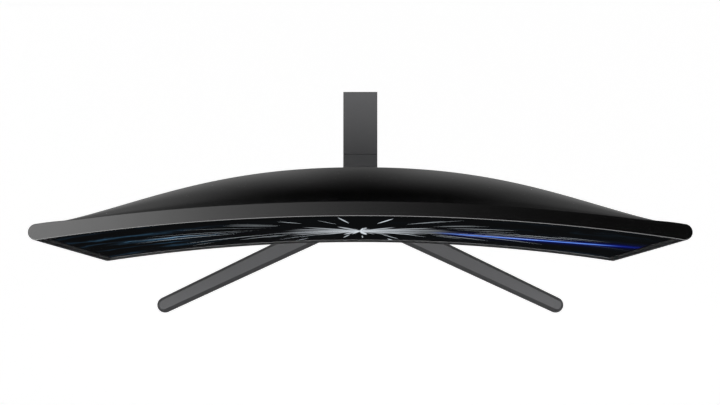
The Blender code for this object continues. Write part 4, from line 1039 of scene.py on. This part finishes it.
# (node, material, slot, bevel width)
for row in (
        ("mount_plate", PLATE, "plated_steel", 0.0003),
        ("hdmi_port", STEEL, "plated_steel", 0.00008),
        ("displayport", STEEL, "plated_steel", 0.00008),
        ("dc_jack", RESIN, "chip_black", 0.00012),
        ("audio_jack", RESIN, "chip_black", 0.00012),
        ("source_board", BOARD, "board_green", 0.00012),
        ("main_board", BOARD, "board_green", 0.00025),
        ("scaler_chip", RESIN, "chip_black", 0.00015),
        ("heat_sink", ALUMINIUM, "aluminium", 0.00015),
        ("capacitor", RESIN, "chip_black", 0.0002),
        ("jog_board", BOARD, "board_green", 0.0001),
        ("jog_switch", RESIN, "chip_black", 0.0003),
        ("power_led_lens", LENS, "acrylic", 0.0002)):
    refine(*row)

# CAD pieces that keep their meshes: (node, material, slot)
for node, material, slot in (
        ("mold_frame", NYLON, "frame_nylon"),
        ("optical_sheets", WHITE, "sheet_white"),
        ("light_guide", ACRYLIC, "acrylic"),
        ("reflector_sheet", WHITE, "sheet_white"),
        ("led_bar", WHITE, "sheet_white"),
        ("panel_chassis", STEEL, "plated_steel"),
        ("cof_film_left", FILM, "film_amber"),
        ("cof_film_right", FILM, "film_amber"),
        ("inner_chassis", STEEL, "plated_steel"),
        ("display_cable", CABLE, "cable_grey"),
        ("key_cable", CABLE, "cable_grey"),
        ("backlight_cable", CABLE, "cable_grey")):
    ob = frame["nodes"][node]
    materials = ob.data.materials
    if len(materials) == 0:
        materials.append(material)
    for i in range(len(materials)):
        materials[i] = material
    ob["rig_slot"] = slot

# joystick, turned about its axis: (radius, depth)
JOG_CAP = [
    (0, 0.0151), (0.0014, 0.0151), (0.0014, 0.0164), (0.0047, 0.0164), (0.0053, 0.0166),
    (0.0056, 0.0170), (0.0056, 0.0203), (0.0055, 0.0208), (0.0052, 0.0214), (0.0048, 0.0218),
    (0.0043, 0.0220), (0.0038, 0.0219), (0.0030, 0.0215), (0.0018, 0.02125), (0, 0.0212)]
JOG_RING = [(0.0022, 0.0151), (0.0034, 0.0151), (0.0034, 0.0159), (0.0022, 0.0159)]
JOG_PLUNGER = [(0, 0.0130), (0.0015, 0.0130), (0.0018, 0.0132), (0.0018, 0.0145),
               (0.0016, 0.0148), (0, 0.0148)]
finish(spin("joystick_cap", JOG_CAP, JOG_ORIGIN, JOG_AXIS, 48, RIM),
       "jog_top", "rim_gloss", "jog_cap", angle=38)
finish(spin("joystick_ring", JOG_RING, JOG_ORIGIN, JOG_AXIS, 40, STEEL),
       "jog_rocker", "plated_steel", "jog_gimbal")
finish(spin("joystick_plunger", JOG_PLUNGER, JOG_ORIGIN, JOG_AXIS, 32, RESIN),
       "jog_press_body", "chip_black", "jog_plunger")

# ------------------------------------------------------------------ stand: hinge
HINGE_PIN = [(0, 0), (0.0042, 0), (0.0050, 0.0002), (0.0056, 0.0007), (0.0056, 0.0022),
             (0.0035, 0.0022), (0.0035, 0.0532), (0.0028, 0.0540), (0, 0.0540)]
WASHER = [(0.00368, 0), (0.0073, 0), (0.0075, 0.0002), (0.0075, 0.0008), (0.0073, 0.0010),
          (0.00368, 0.0010)]
finish(spin("hinge_pin_turned", HINGE_PIN, (-0.0259, HINGE.y, HINGE.z), (1, 0, 0), 48, TURNED),
       "stand", "plated_steel", "hinge_pin")
for side, x in (("left", -0.02060), ("right", 0.01960)):
    finish(spin(f"washer_{side}_turned", WASHER, (x, HINGE.y, HINGE.z), (1, 0, 0), 48,
                ALUMINIUM),
           "stand", "aluminium", f"friction_washer_{side}")
refine("hinge_nut", TURNED, "plated_steel", 0.0003)

# ------------------------------------------------------------------ stand: neck
NECK_Z0, NECK_Z1 = 0.0170, 0.1893
NECK_WALL = 0.0020
# (distance from either end, inset): the broken end edges
NECK_ENDS = [(0.0, 0.0003), (0.00012, 0.0001), (0.0003, 0.0)]


def neck_centre(z):
    """The neck leans forward as it rises."""
    return 0.0740 + (0.0560 - 0.0740) / (0.2000 - 0.0143) * (z - 0.0143)


def neck_section(z, side, inset=0.0):
    """U-shaped section of one shell; side is 1 for the back, -1 for the front."""
    half_depth = 0.0100 + (0.0084 - 0.0100) * (z - 0.017) / (0.19 - 0.017)
    depth, width = half_depth - inset, NECK_HALF_W - inset
    radius, split = 0.0022 - inset * 0.5, 0.0002 + inset
    points = [(-width, split)]
    for corner_x, start in ((-width + radius, pi), (width - radius, pi / 2)):
        for k in range(7):
            a = start - pi / 2 * k / 6
            points.append((corner_x + radius * cos(a), depth - radius + radius * sin(a)))
    inner_w, inner_d, cut = NECK_HALF_W - NECK_WALL, half_depth - NECK_WALL, 0.0006
    points += [(width, split), (inner_w, split), (inner_w, inner_d - cut),
               (inner_w - cut, inner_d), (-inner_w + cut, inner_d), (-inner_w, inner_d - cut),
               (-inner_w, split)]
    return [Vector((x, behind_lip(neck_centre(z) + side * d), z)) for x, d in points]


for name, side, node in (("neck_back_shell", 1, "neck_rear_cover"),
                         ("neck_front_shell", -1, "neck_front_cover")):
    rings = [neck_section(NECK_Z0 + s, side, inset) for s, inset in NECK_ENDS]
    rings += [neck_section(NECK_Z0 + (NECK_Z1 - NECK_Z0) * k / 12, side) for k in range(1, 12)]
    rings += [neck_section(NECK_Z1 - s, side, inset) for s, inset in reversed(NECK_ENDS)]
    finish(loft(name, rings, NECK), "stand", "stand_plastic", node, angle=34)

refine("neck_core", PLATE, "plated_steel", 0.0004)
refine("cable_clip", NECK, "stand_plastic", 0.00025)

# ------------------------------------------------------------------ stand: base
refine("base_hub", STAND, "stand_paint", 0.0004, segments=3)
refine("hub_cover", NECK, "stand_plastic", 0.0005, segments=3)

# edges of the right leg in plan: (y at x = 0, fall of y per unit of x)
LEG_BACK, LEG_FRONT = (0.0527, 0.4915), (0.0270, 0.4614)
LEG_MIDDLE = tuple((back + front) / 2 for back, front in zip(LEG_BACK, LEG_FRONT))
LEG_TIP_X, LEG_ROOT_X = 0.2283, 0.0262
LEG_CHAMFER = 0.0036
LEG_SIDE_STEPS, LEG_TIP_STEPS = 26, 18
TAB_BOTTOM, TAB_TOP = BASE_BOTTOM + 0.0003, 0.0075   # tabs that run into the hub
LEG_SCREW_X = 0.0170


def leg_y(line, x):
    return line[0] - line[1] * x


def leg_middle(x):
    return Vector((x, leg_y(LEG_MIDDLE, x)))


LEG_ALONG = Vector((1, -LEG_MIDDLE[1])).normalized()
LEG_ACROSS = Vector((-LEG_ALONG.y, LEG_ALONG.x))     # towards the back
LEG_TIP_R = 0.5 * (leg_y(LEG_BACK, 0.215) - leg_y(LEG_FRONT, 0.215)) * LEG_ALONG.x
LEG_TIP = leg_middle(LEG_TIP_X - LEG_TIP_R)          # centre of the round tip


def leg_arc(centre, radius, start, steps):
    """Half circle whose angles run from the leg's own direction."""
    points = []
    for k in range(steps + 1):
        w = start + pi * k / steps
        points.append(centre + (LEG_ALONG * cos(w) + LEG_ACROSS * sin(w)) * radius)
    return points


def leg_strip(x0, x1, half):
    a, b = leg_middle(x0), leg_middle(x1)
    offset = LEG_ACROSS * half
    return [a - offset, b - offset, b + offset, a + offset]


def leg_slot(x0, x1, half):
    """Long slot with round ends along the leg's middle line."""
    return (leg_arc(leg_middle(x1 - half), half, -pi / 2, 8)
            + leg_arc(leg_middle(x0 + half), half, pi / 2, 8))


def leg_ring(inset, z, side):
    """Outline of a leg: front edge, round tip, back edge."""
    roots = []
    for line, offset in ((LEG_FRONT, LEG_ACROSS * inset), (LEG_BACK, -LEG_ACROSS * inset)):
        p = Vector((LEG_ROOT_X, leg_y(line, LEG_ROOT_X))) + offset
        # slide along the leg, back to the root
        roots.append(Vector((LEG_ROOT_X, p.y + (p.x - LEG_ROOT_X) * LEG_MIDDLE[1])))
    a, b = roots
    arc = leg_arc(LEG_TIP, LEG_TIP_R - inset, -pi / 2, LEG_TIP_STEPS)
    n = LEG_SIDE_STEPS
    points = ([a + (arc[0] - a) * (i / n) for i in range(n)] + arc
              + [arc[-1] + (b - arc[-1]) * ((i + 1) / n) for i in range(n)])
    return [Vector((side * p.x, behind_lip(p.y), z)) for p in points]


def close_leg(ob, count, ring_count):
    """Closes bottom and top with strips from the front edge to the back edge."""
    bm = bmesh.new()
    bm.from_mesh(ob.data)
    bm.verts.ensure_lookup_table()
    for base in (0, (ring_count - 1) * count):
        for i in range((count - 1) // 2):
            strip = [base + i, base + i + 1, base + count - 2 - i, base + count - 1 - i]
            # the last strip shares a point and is a triangle
            strip = list(dict.fromkeys(strip))
            bm.faces.new([bm.verts[k] for k in strip])
    bmesh.ops.recalc_face_normals(bm, faces=bm.faces)
    bm.to_mesh(ob.data)
    bm.free()


# (inset, z) up the leg's side
LEG_PROFILE = round_profile(
    [(0.0022, BASE_BOTTOM), (0.0006, BASE_BOTTOM), (0.0, BASE_BOTTOM + 0.0006),
     (0.0, BASE_BOTTOM + 0.0040), (LEG_CHAMFER, BASE_TOP), (LEG_CHAMFER + 0.0014, BASE_TOP)],
    0.00055)
LEG_WELLS = ((0.0450, 0.0935), (0.0960, 0.1445), (0.1470, 0.1950))   # x0, x1
LEG_SCREW_HOLE = [(0, 0), (0.0035, 0), (0.0035, 0.0062), (0.0021, 0.0062), (0.0021, 0.012),
                  (0, 0.012)]
LEG_SCREW = [(0, 0), (0.0022, 0), (0.0028, 0.00015), (0.0031, 0.0005), (0.0031, 0.0014),
             (0.0016, 0.0014), (0.0016, 0.0084), (0, 0.0084)]
LEG_FOOT = [(0, 0.0002), (0.0034, 0.0002), (0.0036, 0), (0.0052, 0), (0.0057, 0.0002),
            (0.0060, 0.0006), (0.0060, 0.0019), (0, 0.0019)]


def make_leg(word, side):
    """Leg with its screw and foot; side is 1 at +x, -1 at -x."""
    rings = [leg_ring(inset, z, side) for inset, z in LEG_PROFILE]
    ob = loft(f"leg_{word}_cast", rings, STAND, caps=False)
    close_leg(ob, len(rings[0]), len(rings))
    tab = plan_prism(leg_strip(0.0100, 0.0400, 0.0070), TAB_BOTTOM, TAB_TOP, side)
    boolean(ob, tab, operation="UNION")
    tools = [plan_prism(leg_slot(x0, x1, 0.0058), -0.002, 0.0115, side)
             for x0, x1 in LEG_WELLS]
    x, y = side * LEG_SCREW_X, behind_lip(leg_y(LEG_MIDDLE, LEG_SCREW_X))
    tools.append(spin("cutter", LEG_SCREW_HOLE, (x, y, -0.002), (0, 0, 1), 28))
    boolean(ob, gather(tools))
    tidy(ob)
    finish(ob, "stand", "stand_paint", f"{word}_leg", angle=30)
    screw(f"leg_screw_{word}", "stand", LEG_SCREW, (x, y, BASE_BOTTOM + 0.0004), (0, 0, 1),
          size=0.0018, depth=0.0009)
    p = LEG_TIP - LEG_ALONG * 0.004
    foot = spin(f"foot_{word}_moulded", LEG_FOOT, (side * p.x, behind_lip(p.y), 0), (0, 0, 1),
                40, RUBBER)
    finish(foot, "stand", "rubber_black", f"foot_{word}")


make_leg("right", 1)
make_leg("left", -1)

# ------------------------------------------------------------------ stand: rear leg
TAIL_START = 0.1043 + 0.0003           # end of the hub and a gap
# (side inset, front inset, end inset, z), bottom to top
TAIL_STATIONS = [
    (0.0014, 0.0014, 0.0014, BASE_BOTTOM),
    (0.0005, 0.0002, 0.0005, BASE_BOTTOM),
    (0.0, 0.0, 0.0, BASE_BOTTOM + 0.0005),
    (0.0, 0.0, 0.0, BASE_TOP - 0.0016),
    (0.0, 0.0, 0.00008, BASE_TOP - 0.0013),
    (0.00006, 0.0, 0.0004, BASE_TOP - 0.0009),
    (0.00035, 0.00004, 0.0010, BASE_TOP - 0.00045),
    (0.0008, 0.00018, 0.0015, BASE_TOP - 0.0001),
    (0.0012, 0.0004, 0.0019, BASE_TOP),
    (0.0026, 0.0018, 0.0034, BASE_TOP)]


def tail_ring(half_w, y0, y1, z, nx=8, ny=18):
    points = [(-half_w + 2 * half_w * i / nx, y0) for i in range(nx)]
    points += [(half_w, y0 + (y1 - y0) * i / ny) for i in range(ny)]
    points += [(half_w - 2 * half_w * i / nx, y1) for i in range(nx)]
    points += [(-half_w, y1 + (y0 - y1) * i / ny) for i in range(ny)]
    return [Vector((x, behind_lip(y), z)) for x, y in points]


rings = [tail_ring(NECK_HALF_W - side, TAIL_START + front, TAIL_END - end, z)
         for side, front, end, z in TAIL_STATIONS]
tail = loft("rear_leg_cast", rings, STAND)
well = rounded_rect(-0.0165, 0.0165, TAIL_START + 0.0150, TAIL_END - 0.0180, 0.003, 6)
boolean(tail, plan_prism(well, -0.002, 0.0135))
boolean(tail, block(-0.0120, 0.0120, TAIL_START - 0.0110, TAIL_START + 0.0080, TAB_BOTTOM,
                    TAB_TOP), operation="UNION")
tidy(tail)
finish(tail, "stand", "stand_paint", "rear_leg", angle=34)

BASE_SCREW = [
    (0, 0), (0.0080, 0), (0.0088, 0.0003), (0.0093, 0.0009), (0.0093, 0.0030),
    (0.0031, 0.0030), (0.0031, 0.0180), (0.0024, 0.0190), (0, 0.0190)]
screw("base_screw", "stand", BASE_SCREW, (0, behind_lip(neck_centre(0.0146)), 0.0028),
      (0, 0, 1), size=0.0070, depth=0.0014, slotted=True, segments=48)
refine("foot_rear", RUBBER, "rubber_black", 0.0003)
refine("foot_hub", RUBBER, "rubber_black", 0.0003)


# ------------------------------------------------------------------ studio: floor
def make_floor():
    """White floor, see-through from below."""
    bm = bmesh.new()
    bmesh.ops.create_grid(bm, x_segments=8, y_segments=8, size=14.0)
    mesh = bpy.data.meshes.new("floor")
    bm.to_mesh(mesh)
    bm.free()
    ob = add_object("floor", mesh)
    material, g, paper = new_material("floor_paper")
    g.fill(paper, {
        "Base Color": (0.35, 0.35, 0.35, 1), "Roughness": 0.9, "Specular IOR Level": 0.1,
        "Emission Color": (1, 1, 1, 1), "Emission Strength": 0.98})
    mixed = g.value("MixShader", 0, {
        0: g.value("NewGeometry", "Backfacing"), 1: Value(g, paper.outputs[0]),
        2: g.value("BsdfTransparent")})
    output = [n for n in g.nodes if n.type == "OUTPUT_MATERIAL"][0]
    g.fill(output, {"Surface": mixed})
    mesh.materials.append(material)
    ob.visible_glossy = False
    ob.visible_diffuse = False
    return ob


floor = make_floor()

# ------------------------------------------------------------------ studio: world
# overhead strip: (x of the direction, brightness), bright on the left
STRIP = [(-0.40, 4.8), (-0.28, 4.8), (-0.215, 4.6), (-0.16, 3.4), (-0.105, 1.75),
         (-0.052, 1.12), (0.0, 0.56), (0.052, 0.285), (0.087, 0.13), (0.14, 0.065),
         (0.20, 0.05), (0.40, 0.06)]
STRIP_REACH, STRIP_PEAK = 0.4, 5.0     # the curve's x runs over +-reach, its y up to the peak


def strip_curve(g, x):
    inputs = {"Value": clamped((x + STRIP_REACH) * 1.25)}
    node = g.node("FloatCurve", inputs)
    points = node.mapping.curves[0].points
    places = [((px + STRIP_REACH) / (2 * STRIP_REACH), py / STRIP_PEAK) for px, py in STRIP]
    points[0].location = places[0]
    points[1].location = places[-1]
    for place in places[1:-1]:
        points.new(*place)
    node.mapping.update()
    return Value(g, node.outputs[0])


def make_world():
    """White to the camera, drawn light shapes to gloss, an even dim surround to the rest."""
    world = bpy.data.worlds.new("studio")
    SCENE.world = world
    world.use_nodes = True
    g = Graph(world.node_tree)
    g.nodes.clear()
    output = g.node("OutputWorld")
    background = g.node("Background")
    g.fill(output, {0: Value(g, background.outputs[0])})
    paths = g.node("LightPath")
    x, y, z = g.xyz(g.value("TexCoord", "Generated"))
    side = abs(x)
    tilt = g.math("ARCTAN2", y, z)     # 0 overhead, +90 degrees behind, -90 in front

    def sweep(angle, low, high, *ends):
        """Smooth step between two angles in degrees."""
        return angle.ramp(radians(low), radians(high), *ends)

    strip = strip_curve(g, x) * sweep(tilt, -5, 7.5, 3.1, 5.4)
    # behind: dark in the middle, brighter to both sides
    middle = sweep(tilt, 62, 156, 0.008, 0.100)
    flanks = sweep(tilt, 60, 135, 0.0, 0.11) * side.ramp(0.0, 0.09)
    wings = sweep(tilt, 62, 148, 1.55, 0.16) * x.ramp(-0.05, 0.05, 1.0, 0.72)
    spread = (side + sweep(tilt, 12, 58, 0.035, 0.0)).ramp(0.05, 0.33) ** 2.0
    rear = middle + flanks + wings * spread
    rear = rear + side.ramp(0.30, 0.52) * 1.5
    # in front: a bar of light, near darkness below it
    ahead = tilt * -1.0
    bar = sweep(ahead, 22, 30) * sweep(ahead, 66, 74, 1.0, 0.0)
    bar = bar * x.ramp(-0.25, 0.35, 13.0, 8.0)
    fall = sweep(ahead, 70, 96, 1.0, 0.0) * sweep(ahead, 5, 40, 1.0, 0.5)
    front = strip * fall + bar
    low = 0.006 + sweep(ahead, 88, 108) * sweep(ahead, 128, 156, 1.0, 0.0) * 0.12
    low = low + side.ramp(0.48, 0.75) * 1.4
    front = front + low
    to_rear = sweep(tilt, 7, 11)
    side_fade = side.ramp(0.60, 0.86, 1.0, 0.03)
    gloss_light = side_fade * (front * (1.0 - to_rear) + rear * to_rear)
    # matt surfaces get a little more from below
    matt_light = 0.03 + z.ramp(0.0, -0.8, 0.0, 0.13)
    gloss = Value(g, paths.outputs["Is Glossy Ray"])
    camera = Value(g, paths.outputs["Is Camera Ray"])
    light = gloss * gloss_light + (1.0 - gloss) * matt_light
    g.fill(background, {"Strength": camera * 1.02 + (1.0 - camera) * light,
                        "Color": (1, 1, 1, 1)})


make_world()

# ------------------------------------------------------------------ studio: lamps
# separate lamps light the stand, the head and the neck
LIT_STAND = bpy.data.collections.new("lit_stand")
LIT_HEAD = bpy.data.collections.new("lit_head")
for ob in list(OBJECTS):
    if ob.type == "MESH" and ob is not floor:
        group = LIT_STAND if ob.get("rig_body") == "stand" else LIT_HEAD
        group.objects.link(ob)
# the stand is kept out of reflections, so that the glass stays dark between the rays
for ob in LIT_STAND.objects:
    ob.visible_glossy = False
LIT_NECK = bpy.data.collections.new("lit_neck")
for ob in list(OBJECTS):
    if ob.type == "MESH" and ob.name.startswith("neck"):
        LIT_NECK.objects.link(ob)

# (name, place, target, size, watts, what it lights)
for name, place, target, size, power, group in (
        ("stand_behind", (0.0, 0.27, 3.0), (0, 0, 0), (1.0, 0.30), 36.0, LIT_STAND),
        ("stand_above", (0.0, -0.68, 2.93), (0, 0, 0), (1.0, 0.47), 60.0, LIT_STAND),
        ("stand_high_front", (0.0, -1.10, 2.80), (0, 0, 0), (1.0, 0.5), 31.0, LIT_STAND),
        ("stand_front", (0.0, -3.0, 0.5), (0, 0, 0.1), (3.0, 0.6), 1.5, LIT_STAND),
        ("stand_rear", (0.0, 3.0, 0.35), (0, 0, 0.1), (3.0, 0.6), 22.0, LIT_STAND),
        ("stand_below", (0.3, 0.6, -2.6), (0, 0, 0), (2.0, 1.5), 55.0, LIT_STAND),
        ("neck_rear", (0.6, 3.0, 0.9), (0, 0, 0.1), (2.4, 1.2), 60.0, LIT_NECK),
        ("head_rear_low", (0.0, 2.2, -2.4), (0, 0, 0.25), (3.0, 1.4), 190.0, LIT_HEAD),
        ("head_front_low", (-0.5, -2.6, -0.9), (0, 0, 0.25), (2.4, 1.2), 80.0, LIT_HEAD)):
    lamp = bpy.data.lights.new(name, "AREA")
    lamp.shape = "RECTANGLE"
    lamp.size, lamp.size_y = size
    lamp.energy = power
    ob = add_object(name, lamp)
    ob.location = place
    aim = Vector(target) - Vector(place)
    ob.rotation_euler = aim.to_track_quat("-Z", "Y").to_euler()
    ob.visible_glossy = False
    ob.light_linking.receiver_collection = group

# ------------------------------------------------------------------ camera
# high above the head, looking steeply down and a little to the back
CAMERA_PITCH = 84.553                  # degrees below the horizon
lens = bpy.data.cameras.new("camera")
lens.sensor_width = 36.0
lens.lens = 68.75
lens.shift_x = -0.00041667
lens.clip_start, lens.clip_end = 0.05, 60.0
camera = add_object("camera", lens)
camera.location = (0.0, LIP_Y - 0.0970, HEAD_TOP + 1.1362)
camera.rotation_euler = (radians(90.0 - CAMERA_PITCH), 0.0, 0.0)
SCENE.camera = camera
SCENE.view_settings.view_transform = "Standard"
SCENE.view_settings.look = "None"
SCENE.view_settings.exposure = 0.0
SCENE.view_settings.gamma = 1.0

bpy.context.view_layer.update()
